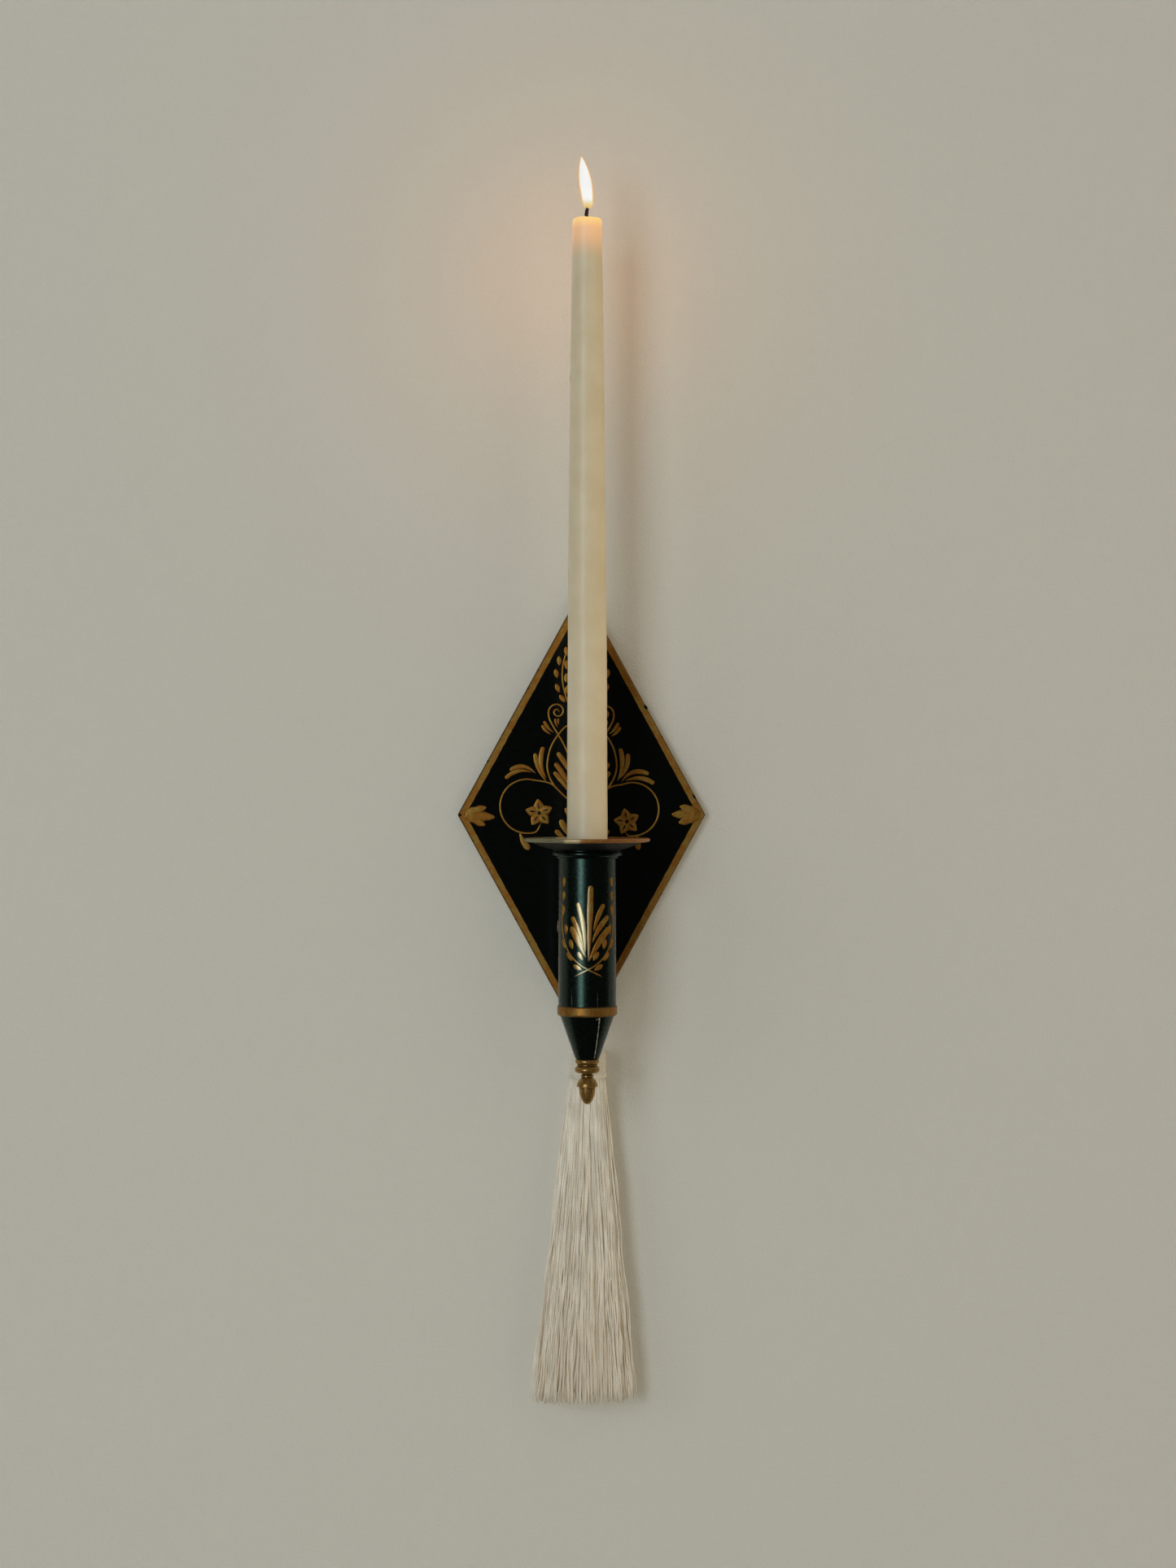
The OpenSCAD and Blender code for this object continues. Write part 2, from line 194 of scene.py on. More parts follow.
def lacquer_material():
    """Gloss black-green lacquer with slow waves along the tube."""
    s = Shader("black_green_lacquer")
    s.feed("Base Color", lacquer_coat(s, LACQUER))
    s.feed("Roughness", s.ramp(s.noise(0.5, 5.0, 0.6), 0.3, 0.8, 0.22, 0.36))
    s.set(Specular_IOR_Level=0.38, Specular_Tint=(0.60, 1.0, 0.80, 1.0))
    s.bump(s.noise(0.10, 2.0, 0.4, stretch=(1.0, 1.0, 0.35)), 0.05, 0.5)
    return s.material


def bronze_paint(s, scale=1.0):
    """Mottled bronze-powder paint: its colour, its roughness and its fine grain."""
    cloud = s.noise(0.22 * scale, 4.0, 0.65)
    fine = s.noise(2.2 * scale, 3.0, 0.6)
    colour = s.blend(s.ramp(cloud, 0.42, 0.60), BRONZE_DARK, BRONZE)
    colour = s.blend(s.ramp(fine, 0.52, 0.72, 0.0, 0.5), colour, BRONZE_PALE)
    rough = s.ramp(fine, 0.3, 0.7, 0.34, 0.50)
    return colour, rough, fine


def stroke_material():
    """Painted strokes; on the front of the tube, those just left of its middle carry a painted highlight
    in pale gilt.
    """
    s = Shader("bronze_brush_paint")
    colour, rough, fine = bronze_paint(s)
    worn = s.ramp(s.noise(1.1, 5.0, 0.7), 0.66, 0.72)
    x, y, _ = s.axes()
    # Painted highlight: a pale gilt band down the front of the tube, where the light shines on the
    # strokes.
    off_patch = s.math("ABSOLUTE", s.math("SUBTRACT", x, HIGHLIGHT_X * MM))
    patch = s.ramp(off_patch, 1.2 * MM, 4.6 * MM, 1.0, 0.0)
    patch = s.math("MULTIPLY", patch, s.math("LESS_THAN", y, AXIS_Y * MM))
    patch = s.math("MULTIPLY", patch, s.ramp(fine, 0.30, 0.55, 0.45, 0.95))
    colour = s.blend(patch, colour, WORN_GILT_AND_HIGHLIGHT)
    s.feed("Base Color", s.blend(worn, colour, (0.03, 0.025, 0.015)))
    s.feed("Roughness", rough)
    s.set(Metallic=0.75, Specular_IOR_Level=0.25, Specular_Tint=(0.25, 0.22, 0.18, 1.0))
    s.bump(fine, 0.06, 0.5)
    return s.material


def plate_material():
    """Lacquer with a painted border, worn along the plate's edge and darkened there by painted shade, and
    a rusty back.
    """
    s = Shader("painted_plate")
    x, y, z = s.axes()
    across = s.math("DIVIDE", s.math("ABSOLUTE", x), PLATE_HALF_W * MM)
    up = s.math("DIVIDE", s.math("ABSOLUTE", z), PLATE_HALF_H * MM)
    inset = s.math("MULTIPLY", s.math("SUBTRACT", 1.0, s.math("ADD", across, up)), PLATE_IN_R)
    wobble = s.math("MULTIPLY", s.math("SUBTRACT", s.noise(0.25, 2.0), 0.5), 0.7)
    band = s.ramp(s.math("ADD", inset, wobble), BORDER_W - 0.1, BORDER_W + 0.1, 1.0, 0.0)
    front = s.math("LESS_THAN", y, -(PLATE_FRONT - PLATE_SHEET) * MM)
    edge = s.ramp(inset, 0.35, 1.2, 1.0, 0.0)
    chips = s.ramp(s.noise(0.30, 5.0, 0.65), 0.57, 0.61)
    nicks = s.math("MULTIPLY", edge, chips)
    specks = s.ramp(s.noise(1.3, 3.0, 0.6), 0.70, 0.74)
    worn = s.math("MAXIMUM", nicks, specks)
    gold = s.math("MULTIPLY", s.math("MULTIPLY", band, front), s.math("SUBTRACT", 1.0, worn))
    black = lacquer_coat(s, LACQUER)
    bronze, rough, fine = bronze_paint(s)
    # Painted shade: the gold darkens towards the plate's outer edge, over its chamfer.
    bronze = s.blend(s.ramp(inset, 0.30, 0.85, 0.8, 0.0), bronze, (0.10, 0.055, 0.016))
    inside = s.math("GREATER_THAN", y, -(PLATE_FRONT - PLATE_SHEET - 0.05) * MM)
    hidden = s.math("MULTIPLY", inside, s.math("GREATER_THAN", inset, PLATE_SHEET))
    rust = s.ramp(s.noise(0.10, 5.0, 0.65), 0.45, 0.65)
    bare = s.blend(rust, (0.060, 0.055, 0.048), (0.085, 0.045, 0.022))
    colour = s.blend(gold, s.blend(hidden, black, bare), bronze)
    s.feed("Base Color", colour)
    s.feed("Metallic", s.math("MULTIPLY", gold, 0.75))
    lacquer_rough = s.ramp(s.noise(0.5, 5.0, 0.6), 0.3, 0.8, 0.16, 0.28)
    lacquer_rough = s.math("MAXIMUM", lacquer_rough, s.math("MULTIPLY", hidden, 0.6))
    mixed = s.node("Mix", [(0, gold), (2, lacquer_rough), (3, rough)], data_type="FLOAT")
    s.feed("Roughness", mixed.outputs[0])
    s.set(Specular_IOR_Level=0.2)
    ripple = s.noise(0.05, 3.0, 0.4)
    paint_height = s.math("MULTIPLY", gold, s.math("ADD", fine, 0.3))
    s.bump(s.math("ADD", ripple, paint_height), 0.08, 0.4)
    return s.material


def band_material():
    """Bronze paint with chips, and painted shade that darkens it towards its upper and lower edges."""
    s = Shader("gilt_band")
    colour, rough, fine = bronze_paint(s, 0.8)
    chip = s.ramp(s.noise(0.42, 4.0, 0.6), 0.66, 0.70)
    middle = (band_low.z + band_high.z) / 2
    half = (band_high.z - band_low.z) / 2
    off = s.math("ABSOLUTE", s.math("SUBTRACT", s.axes()[2], middle * MM))
    # Painted shade: the band darkens towards its top and bottom edges.
    edge_shade = s.ramp(off, (half - 1.1) * MM, (half - 0.1) * MM, 0.25, 0.90)
    colour = s.blend(edge_shade, colour, (0.05, 0.03, 0.012))
    s.feed("Base Color", s.blend(chip, colour, (0.012, 0.012, 0.009)))
    s.feed("Roughness", rough)
    s.set(Metallic=0.75, Specular_IOR_Level=0.25)
    s.bump(s.math("SUBTRACT", fine, chip), 0.10, 0.6)
    return s.material


def brass_material(name, crown_low, crown_high):
    """Aged brass: bright on the crowns, with painted shade that darkens it to brown in the grooves."""
    s = Shader(name)
    # Painted shade: occlusion within 1.6 mm darkens the grooves.
    groove_shade = s.node("AmbientOcclusion", [("Distance", 1.6 * MM)], samples=8).outputs["AO"]
    cloud = s.noise(0.9, 5.0, 0.65)
    colour = s.blend(s.ramp(cloud, 0.30, 0.72), crown_low, crown_high)
    colour = s.blend(s.ramp(groove_shade, 0.40, 0.95, 1.0, 0.0), colour, (0.040, 0.022, 0.008))
    s.feed("Base Color", colour)
    s.feed("Roughness", s.ramp(s.noise(2.0, 4.0, 0.6), 0.3, 0.7, 0.24, 0.42))
    s.set(Metallic=0.8)
    s.bump(s.noise(1.5, 3.0, 0.6), 0.05, 0.5)
    return s.material


def pan_material():
    """Worn gold on the rim, copper and green patches, dark lacquer below."""
    s = Shader("worn_pan")
    x, y, _ = s.axes()
    y_off = s.math("SUBTRACT", y, AXIS_Y * MM)
    squares = s.math("ADD", s.math("MULTIPLY", x, x), s.math("MULTIPLY", y_off, y_off))
    radius = s.math("POWER", squares, 0.5)
    wobble = s.math("MULTIPLY", s.math("SUBTRACT", s.noise(0.3, 4.0), 0.5), 3.0 * MM)
    rim = s.ramp(s.math("ADD", radius, wobble), PAN_RIM_R * MM, (PAN_RIM_R + 0.8) * MM)
    ragged = s.math("MULTIPLY", s.math("SUBTRACT", s.noise(0.09, 4.0), 0.5), 8 * MM)
    along = s.math("ADD", x, ragged)
    gold, rough, fine = bronze_paint(s, 0.8)
    copper = s.blend(s.ramp(fine, 0.3, 0.7), (0.260, 0.090, 0.022), (0.480, 0.200, 0.075))
    copper = s.blend(s.ramp(s.noise(0.35, 4.0, 0.65), 0.50, 0.58, 0.0, 0.8), copper, gold)
    metal = s.blend(s.ramp(along, -7 * MM, -4 * MM), s.blend(0.55, gold, WORN_GILT_AND_HIGHLIGHT), copper)
    green = s.ramp(along, -17 * MM, -14.5 * MM, 0.92, 0.0)
    verdigris = s.blend(s.ramp(fine, 0.35, 0.65), (0.110, 0.115, 0.065), (0.320, 0.290, 0.170))
    metal = s.blend(green, metal, verdigris)
    soot = s.ramp(s.noise(0.5, 5.0, 0.7), 0.45, 0.72)
    dark = s.blend(soot, (0.002, 0.003, 0.002), (0.014, 0.015, 0.009))
    s.feed("Base Color", s.blend(rim, dark, metal))
    s.feed("Metallic", s.ramp(rim, 0.0, 1.0, 0.1, 0.7))
    s.feed("Roughness", s.ramp(fine, 0.3, 0.7, 0.34, 0.55))
    s.bump(s.noise(0.9, 5.0, 0.65), 0.12, 0.5)
    return s.material


def steel_material():
    """Dull steel with brown stains, for the hardware."""
    s = Shader("dull_steel")
    stain = s.ramp(s.noise(0.4, 4.0, 0.6), 0.4, 0.7)
    s.feed("Base Color", s.blend(stain, (0.30, 0.29, 0.27), (0.14, 0.10, 0.07)))
    s.feed("Roughness", s.ramp(s.noise(1.6, 4.0), 0.3, 0.7, 0.35, 0.6))
    s.set(Metallic=0.9)
    s.bump(s.noise(2.5, 3.0), 0.04, 0.5)
    return s.material


def wax_material():
    """Ivory wax that glows where the flame lights it from above."""
    s = Shader("ivory_wax")
    height = s.axes()[2]
    mottle = s.noise(0.07, 3.0, 0.5)
    colour = s.blend(s.ramp(mottle, 0.3, 0.7), (0.532, 0.440, 0.292), (0.566, 0.478, 0.328))
    top = candle_high.z
    # Painted flame light: the top 25 mm warms in colour and glows, most in the last 7 mm.
    warm = s.ramp(height, (top - 25) * MM, (top - 6) * MM)
    flame_lit_top = s.ramp(height, (top - 7) * MM, (top - 0.5) * MM)
    colour = s.blend(warm, colour, (0.600, 0.480, 0.300))
    s.feed("Base Color", colour)
    s.feed("Roughness", s.ramp(s.noise(0.25, 4.0), 0.3, 0.7, 0.38, 0.52))
    light = s.blend(warm, (1.0, 0.16, 0.07), (1.0, 0.28, 0.06))
    s.feed("Emission Color", s.blend(flame_lit_top, light, (1.0, 0.52, 0.03)))
    strength = s.math("ADD", s.math("MULTIPLY", warm, 0.30), s.math("MULTIPLY", flame_lit_top, 0.22))
    s.feed("Emission Strength", strength)
    s.set(Subsurface_Weight=0.35, Subsurface_Scale=4.0 * MM)
    s.bsdf.inputs["Subsurface Radius"].default_value = (1.0, 0.6, 0.35)
    s.bump(s.noise(0.22, 4.0, 0.55, stretch=(1.0, 1.0, 0.25)), 0.35, 0.45)
    return s.material


def wick_material():
    """Charred thread with grey ash."""
    s = Shader("charred_wick")
    ash = s.ramp(s.noise(2.5, 4.0, 0.7), 0.5, 0.7)
    s.feed("Base Color", s.blend(ash, (0.012, 0.007, 0.004), (0.060, 0.036, 0.020)))
    s.set(Roughness=0.9)
    s.bump(s.noise(3.0, 3.0), 0.15, 0.8)
    return s.material


def thread_material():
    """Silky off-white thread: two plies twisted round each other, with painted shade in the twist's
    grooves and from the head up.
    """
    s = Shader("silk_thread")
    uv = s.node("UVMap").outputs[0]
    around, along, _ = s.node("SeparateXYZ", [(0, uv)]).outputs
    plies = s.math("MULTIPLY", around, 2.0)
    turns = s.math("MULTIPLY", s.math("ADD", plies, along), 2 * math.pi)
    twist = s.math("ADD", s.math("MULTIPLY", s.math("SINE", turns), 0.5), 0.5)
    tone = s.noise(0.20, 4.0, 0.6, stretch=(1.0, 1.0, 0.25))
    colour = s.blend(s.ramp(tone, 0.3, 0.7), (0.535, 0.488, 0.408), (0.710, 0.670, 0.585))
    height = s.axes()[2]
    # Darker towards the skirt's foot.
    darker_to_foot = s.ramp(height, skirt_low.z * MM, (skirt_low.z + 130) * MM, 0.4, 0.0)
    colour = s.blend(darker_to_foot, colour, (0.500, 0.430, 0.340))
    # Painted shade: the thread darkens from the head's foot upwards, over the head, binding and cord.
    head_shade = s.ramp(height, (head_low.z - 2.0) * MM, (head_low.z + 1.5) * MM, 0.0, 0.55)
    colour = s.blend(head_shade, colour, (0.450, 0.400, 0.310))
    # Painted shade in the grooves between the two plies.
    groove_shade = s.ramp(twist, 0.0, 0.35, 0.15, 0.0)
    s.feed("Base Color", s.blend(groove_shade, colour, (0.30, 0.25, 0.18)))
    s.set(Roughness=0.45, Sheen_Weight=0.3, Sheen_Roughness=0.5, Specular_IOR_Level=0.5)
    s.bump(twist, 0.06, 0.5)
    return s.material


def glow_material(name, foot_colour, tip_colour, opacity):
    """One shell of the flame: it shines by itself and lets some of the wall through."""
    s = Shader(name)
    level = s.ramp(s.axes()[2], FLAME_FOOT * MM, (FLAME_FOOT + 5.0) * MM)
    flicker = s.ramp(s.noise(0.12, 2.0, 0.5), 0.2, 0.8, 0.94, 1.04)
    s.feed("Emission Color", s.blend(level, foot_colour, tip_colour))
    s.feed("Emission Strength", flicker)
    s.set(Base_Color=(0.0, 0.0, 0.0, 1.0), Roughness=1.0, Specular_IOR_Level=0.0, Alpha=opacity)
    return s.material


def seam_material():
    """Pale metal in patches, which along the cone's lap is a painted highlight."""
    s = Shader("pale_seam")
    # The pale patches stand for light caught along the lap: painted highlight.
    worn = s.ramp(s.noise(0.5, 4.0, 0.6), 0.34, 0.56)
    s.feed("Base Color", s.blend(worn, (0.045, 0.042, 0.030), (0.340, 0.320, 0.240)))
    s.set(Roughness=0.5, Metallic=0.4)
    return s.material


# ---- Mesh helpers ----


def new_piece(name, verts, faces, material, body, uvs=None):
    """A mesh object from millimetre points, riding on a CAD body."""
    mesh = bpy.data.meshes.new(name)
    mesh.from_pydata([(x * MM, y * MM, z * MM) for x, y, z in verts], [], faces)
    mesh.polygons.foreach_set("use_smooth", [True] * len(mesh.polygons))
    if uvs:
        layer = mesh.uv_layers.new(name="UVMap")
        layer.data.foreach_set("uv", [c for loop in mesh.loops for c in uvs[loop.vertex_index]])
    mesh.materials.append(material)
    mesh.validate()
    mesh.update()
    piece = bpy.data.objects.new(name, mesh)
    bpy.context.scene.collection.objects.link(piece)
    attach(piece, body)
    return piece


def smooth_path(points, steps=6):
    """Catmull-Rom curve through 2-D or 3-D points."""
    pts = [Vector(p) for p in points]
    ends = [2 * pts[0] - pts[1], *pts, 2 * pts[-1] - pts[-2]]
    out = []
    for i in range(1, len(ends) - 2):
        a, b, c, d = ends[i - 1 : i + 3]
        for k in range(steps):
            t = k / steps
            out.append(0.5 * (2 * b + (c - a) * t + (2 * a - 5 * b + 4 * c - d) * t**2
                              + (3 * b - a - 3 * c + d) * t**3))
    return out + [pts[-1]]


def ring_angles(n):
    """n angles in equal steps round a circle."""
    return [2 * math.pi * k / n for k in range(n)]


def arc_path(centre, radius, start, end, steps=24):
    """Points along a circle, from start to end in degrees."""
    out = []
    for i in range(steps + 1):
        a = math.radians(start + (end - start) * i / steps)
        out.append(Vector((centre[0] + radius * math.cos(a), centre[1] + radius * math.sin(a))))
    return out


class Mesher:
    """Collects points and faces of several shapes into one mesh."""

    def __init__(self):
        self.verts = []
        self.faces = []
        self.uvs = []

    def grid(self, rows, uvs=None):
        """Rings of points, joined into a skin that is capped at both ends."""
        base, n = len(self.verts), len(rows[0])
        for row in rows:
            self.verts.extend(tuple(p) for p in row)
        if uvs:
            for row in uvs:
                self.uvs.extend(row)
        for r in range(len(rows) - 1):
            for c in range(n):
                d = (c + 1) % n
                low, high = base + r * n, base + (r + 1) * n
                self.faces.append((low + c, low + d, high + d, high + c))
        self.faces.append(tuple(base + c for c in reversed(range(n))))
        top = base + (len(rows) - 1) * n
        self.faces.append(tuple(top + c for c in range(n)))

    def tube(self, path, radius, sides=6, pitch=3.0):
        """A round tube along 3-D points, with turning frames and end caps."""
        rows, uvs = [], []
        side = Vector((1, 0, 0))
        length = 0.0
        for i, p in enumerate(path):
            ahead = path[min(i + 1, len(path) - 1)] - path[max(i - 1, 0)]
            ahead.normalize()
            side = side - ahead * side.dot(ahead)
            if side.length < 1e-6:
                side = ahead.orthogonal()
            side.normalize()
            other = ahead.cross(side)
            length += (p - path[i - 1]).length if i else 0.0
            r = radius(i / (len(path) - 1)) if callable(radius) else radius
            rows.append([p + side * (r * math.cos(a)) + other * (r * math.sin(a))
                         for a in ring_angles(sides)])
            uvs.append([(k / sides, length / pitch) for k in range(sides)])
        self.grid(rows, uvs=uvs)

    def piece(self, name, material, body, slot):
        """Makes the mesh an object on a CAD body."""
        return new_piece(name, self.verts, self.faces, material, body, self.uvs)


# ---- Painted ornament ----

PAINT_RISE = 0.16
PAINT_ROOT = -0.06
LINE_W = 0.95
# The tube is turned a little, and its two sprays cross just right of its middle.
TUBE_TURN = math.radians(-3.9)
TUBE_SPRAY_X = 0.5


def on_plate(u, v, h):
    """A point h above the plate's front face, at u across and v up."""
    return (u, -(PLATE_FRONT + h), v)


def on_tube(u, v, h):
    """A point h above the tube, at arc length u round it and height v."""
    a = u / TUBE_R + TUBE_TURN
    r = TUBE_R + h
    return (r * math.sin(a), AXIS_Y - r * math.cos(a), v)


# Each width below is a share of the stroke's width, at the share t of its
# length. The head is the share of the length that a round head takes.


def leaf_width(t, head):
    """Brush stroke: a round head, full for a third of its length, then drawn out thin."""
    rounded = math.sqrt(max(0.0, 1 - (1 - min(t / head, 1.0)) ** 2))
    swell = 0.86 + 0.14 * min(t / 0.3, 1.0)
    return max(0.04, rounded * swell * (1 - 0.86 * max(0.0, (t - 0.3) / 0.7) ** 1.5))


def seed_width(t, head):
    """A small pointed oval, widest nearer its foot."""
    return max(0.06, math.sin(math.pi * t**0.85) ** 0.75)


def lobe_width(t, head):
    """A lobe with a pointed tip that stays broad to its foot."""
    return max(0.05, min(1.0, t / 0.32) ** 0.55)


def dot_width(t, head):
    """A round dot."""
    return max(0.08, math.sqrt(max(0.0, 1 - (2 * t - 1) ** 2)))


def petal_width(t, head):
    """A petal with a pointed tip, broadest where it meets its neighbours."""
    return max(0.03, min(1.0, t / 0.5) ** 0.72 * (1 - 0.75 * max(0.0, (t - 0.5) / 0.5)))


def line_width(t, head):
    """A thin line with short pointed ends."""
    return max(0.25, min(1.0, t / 0.04, (1 - t) / 0.04))


class Brush:
    """Lays raised paint strokes on a surface and keeps them as one mesh."""

    def __init__(self, surface, seed, lift=0.0):
        self.surface = surface
        self.lift = lift
        self.mesher = Mesher()
        self.random = random.Random(seed)
        self.count = 0

    def stroke(self, path, width, profile):
        """One stroke along 2-D points, with a hand's small unevenness."""
        self.count += 1
        lift = 0.012 * (self.count % 5) + self.lift
        shift = self.random.uniform(0, 100)
        length = sum((q - p).length for p, q in zip(path, path[1:]))
        head = min(0.45, 0.5 * width / length)
        run = 0.0
        rows = []
        n = len(path)
        for i, p in enumerate(path):
            run += (p - path[i - 1]).length if i else 0.0
            ahead = (path[min(i + 1, n - 1)] - path[max(i - 1, 0)]).normalized()
            across = Vector((-ahead.y, ahead.x))
            uneven = 1 + 0.10 * noise.noise(Vector((p.x * 0.9, p.y * 0.9, shift)))
            half = width * profile(run / length, head) * uneven / 2
            row = []
            for side, height in ((-1, 0.25), (-0.6, 0.85), (0, 1.0), (0.6, 0.85), (1, 0.25)):
                q = p + across * (half * side)
                row.append(self.surface(q.x, q.y, height * min(PAINT_RISE, half * 0.5) + lift))
            for side in (1, -1):
                q = p + across * (half * side)
                row.append(self.surface(q.x, q.y, PAINT_ROOT))
            rows.append(row)
        self.mesher.grid(rows)

    def leaf(self, tip, foot, width, bend=0.0, profile=leaf_width, steps=18):
        """A stroke from tip to foot, bent sideways by a share of its length."""
        tip, foot = Vector(tip), Vector(foot)
        along = foot - tip
        middle = (tip + foot) / 2 + Vector((-along.y, along.x)) * bend
        path = []
        for i in range(steps + 1):
            t = (i / steps) ** 1.6
            path.append(tip * (1 - t) ** 2 + middle * (2 * t * (1 - t)) + foot * t**2)
        self.stroke(path, width, profile)

    def seed(self, centre, angle, length, width):
        """A small pointed leaf about its centre, at an angle in degrees."""
        a = math.radians(angle)
        half = Vector((math.cos(a), math.sin(a))) * (length / 2)
        centre = Vector(centre)
        self.leaf(centre + half, centre - half, width, profile=seed_width, steps=12)


def plate_scrolls(brush):
    """The two round scrolls with their stems, flowers' stalks and buds."""
    left = [Vector((-8.5, 9.1)), Vector((-13.0, 13.6)), Vector((-18.2, 17.9))]
    left += arc_path((-31.0, 4.9), 15.2, 75, 290, 12) + [Vector((-23.1, -4.4))]
    right = [Vector((9.0, 9.6)), Vector((15.6, 15.4))]
    right += arc_path((28.4, 3.1), 15.1, 112, -98, 12) + [Vector((24.6, -9.6))]
    for path in (left, right):
        brush.stroke(smooth_path(path, 5), LINE_W, line_width)
    brush.leaf((-29.7, -19.4), (-35.0, -10.2), 3.7, 0.14)
    brush.leaf((32.0, -19.8), (31.2, -11.0), 3.4, 0.04)


def plate_flower(brush, lines, centre, radius, turn):
    """Five pointed petals, each with a dark slit, round a dark eye."""
    centre = Vector(centre)
    for i in range(5):
        a = math.radians(turn + 72 * i)
        out = Vector((math.cos(a), math.sin(a)))
        brush.leaf(centre + out * radius, centre, radius * 0.80, profile=petal_width)
        slit_tip, slit_foot = centre + out * radius * 0.70, centre + out * radius * 0.26
        lines.leaf(slit_tip, slit_foot, 0.85, profile=seed_width)
    eye = Vector((0.0, 1.05))
    lines.leaf(centre + eye, centre - eye, 2.1, profile=dot_width)


def plate_leaves(brush):
    """Fat brush leaves beside and between the scrolls."""
    leaves = (
        ((-40.7, 25.0), (-26.2, 23.4), 2.7, 0.42),
        ((-43.2, 20.4), (-28.6, 24.0), 2.5, 0.33),
        ((-26.5, 34.8), (-20.1, 19.0), 2.6, -0.17),
        ((-21.8, 38.4), (-20.3, 20.8), 2.8, -0.25),
        ((21.5, 37.5), (20.1, 19.3), 2.7, 0.21),
        ((25.8, 34.6), (20.9, 20.4), 2.7, 0.26),
        ((37.8, 23.0), (22.4, 18.8), 2.7, -0.42),
        ((40.9, 17.5), (24.7, 19.3), 2.7, -0.28),
    )
    for tip, foot, width, bend in leaves:
        brush.leaf(tip, foot, width, bend)
    fan = ((13.9, 35.2, 5.2, 20.5), (15.3, 29.2, 6.0, 14.6), (15.8, 24.2, 6.4, 11.6))
    for tip_x, tip_z, foot_x, foot_z in fan:
        for side in (-1, 1):
            brush.leaf((side * tip_x, tip_z), (side * foot_x, foot_z), 3.0, side * -0.06)
    brush.leaf((0.0, 42.0), (0.0, 12.0), 3.0)


def spiral(centre, start_r, end_r, start, end, steps):
    """Points that wind inwards about a centre, angles in degrees."""
    out = []
    for i in range(steps + 1):
        share = i / steps
        a = math.radians(start + (end - start) * share)
        r = end_r + (start_r - end_r) * (1 - share) ** 1.3
        out.append(Vector((centre[0] + r * math.cos(a), centre[1] + r * math.sin(a))))
    return out


def plate_arch(brush):
    """Two crossing stems that rise into small spirals."""
    arch = ((6.5, 7.4), (12.9, 13.5), (17.2, 18.9), (19.4, 25.2), (19.3, 31.5), (17.3, 38.8),
            (13.4, 45.2), (9.6, 49.4), (4.8, 52.2), (0.0, 53.6))
    rise = ((4.4, 22.0), (7.0, 32.0), (10.4, 40.0), (13.5, 45.4), (16.4, 50.2), (18.5, 54.4))
    twigs = (((22.6, 50.6), (17.6, 45.4), 1.9), ((21.4, 52.9), (16.3, 46.6), 1.9),
             ((15.1, 54.2), (13.7, 49.4), 1.2), ((13.3, 54.3), (13.0, 50.8), 1.1))
    for side in (-1, 1):
        brush.stroke(smooth_path([(side * u, v) for u, v in arch]), LINE_W, line_width)
        shift = Vector((0.0, 0.0)) if side < 0 else Vector((-0.9, -1.0))
        wind = spiral((13.9, 58.2), 5.0, 0.7, -6, 560, 20)
        path = [Vector((side * p[0], p[1])) + shift * min(1.0, i / 5)
                for i, p in enumerate((*rise, *wind))]
        brush.stroke(smooth_path(path, 4), LINE_W, line_width)
        for tip, foot, width in twigs:
            tip = Vector((side * tip[0], tip[1])) + shift
            foot = Vector((side * foot[0], foot[1])) + shift
            brush.leaf(tip, foot, width, side * 0.16)


def plate_wheat(brush):
    """Upper spray: two bowed stems with small leaves on both sides."""
    outer = ((11.1, 65.5, 128), (13.8, 71.4, 112), (14.5, 79.6, 100), (12.9, 86.8, 92))
    inner = ((8.5, 70.6, 75), (8.9, 77.2, 84), (8.8, 84.6, 92), (8.9, 92.2, 96))
    stem = ((5.0, 58.5), (7.9, 63.5), (9.4, 67.9), (10.8, 74.1), (11.1, 80.5), (10.2, 86.9),
            (8.2, 92.4), (4.0, 98.0))
    for side in (-1, 1):
        brush.stroke(smooth_path([(side * u, v) for u, v in stem]), 0.85, line_width)
        for u, v, lean in outer + inner:
            brush.seed((side * u, v), lean if side < 0 else 180 - lean, 5.3, 2.6)
    for k in range(4):
        brush.seed((0, 70.0 + 8.5 * k), 90, 6.0, 2.5)


def plate_corner_leaves(brush):
    """A three-lobed leaf that grows from the border at each side corner."""
    lobes = (
        ((-54.0, 4.3), (-64.0, 0.8), 4.4, -0.04),
        ((-59.6, 4.0), (-66.0, 0.8), 3.2, 0.0),
        ((-49.1, -1.3), (-66.0, 0.4), 5.0, 0.02),
        ((-54.6, -5.8), (-63.5, -0.6), 4.2, 0.05),
        ((-59.5, -4.2), (-66.0, -0.2), 3.2, 0.0),
        ((55.4, 4.8), (65.0, 0.8), 4.4, 0.05),
        ((60.2, 4.6), (66.0, 0.8), 3.2, 0.0),
        ((50.8, 0.2), (67.0, 0.2), 5.0, 0.0),
        ((54.8, -4.6), (65.0, -0.8), 4.4, -0.05),
        ((60.0, -4.4), (66.0, -0.6), 3.2, 0.0),
    )
    for tip, root, width, bend in lobes:
        brush.leaf(tip, root, width, bend, profile=lobe_width)


def plate_lower_spray(brush):
    """Short strokes under the candle's foot, just above the pan."""
    for side in (-1, 1):
        brush.leaf((side * 12.0, -2.6), (side * 7.4, -12.0), 3.5, side * 0.06)
        brush.leaf((side * 15.0, -8.6), (side * 9.6, -13.0), 3.0, side * 0.10)
        brush.leaf((side * 9.2, 4.0), (side * 7.0, -2.4), 2.4)


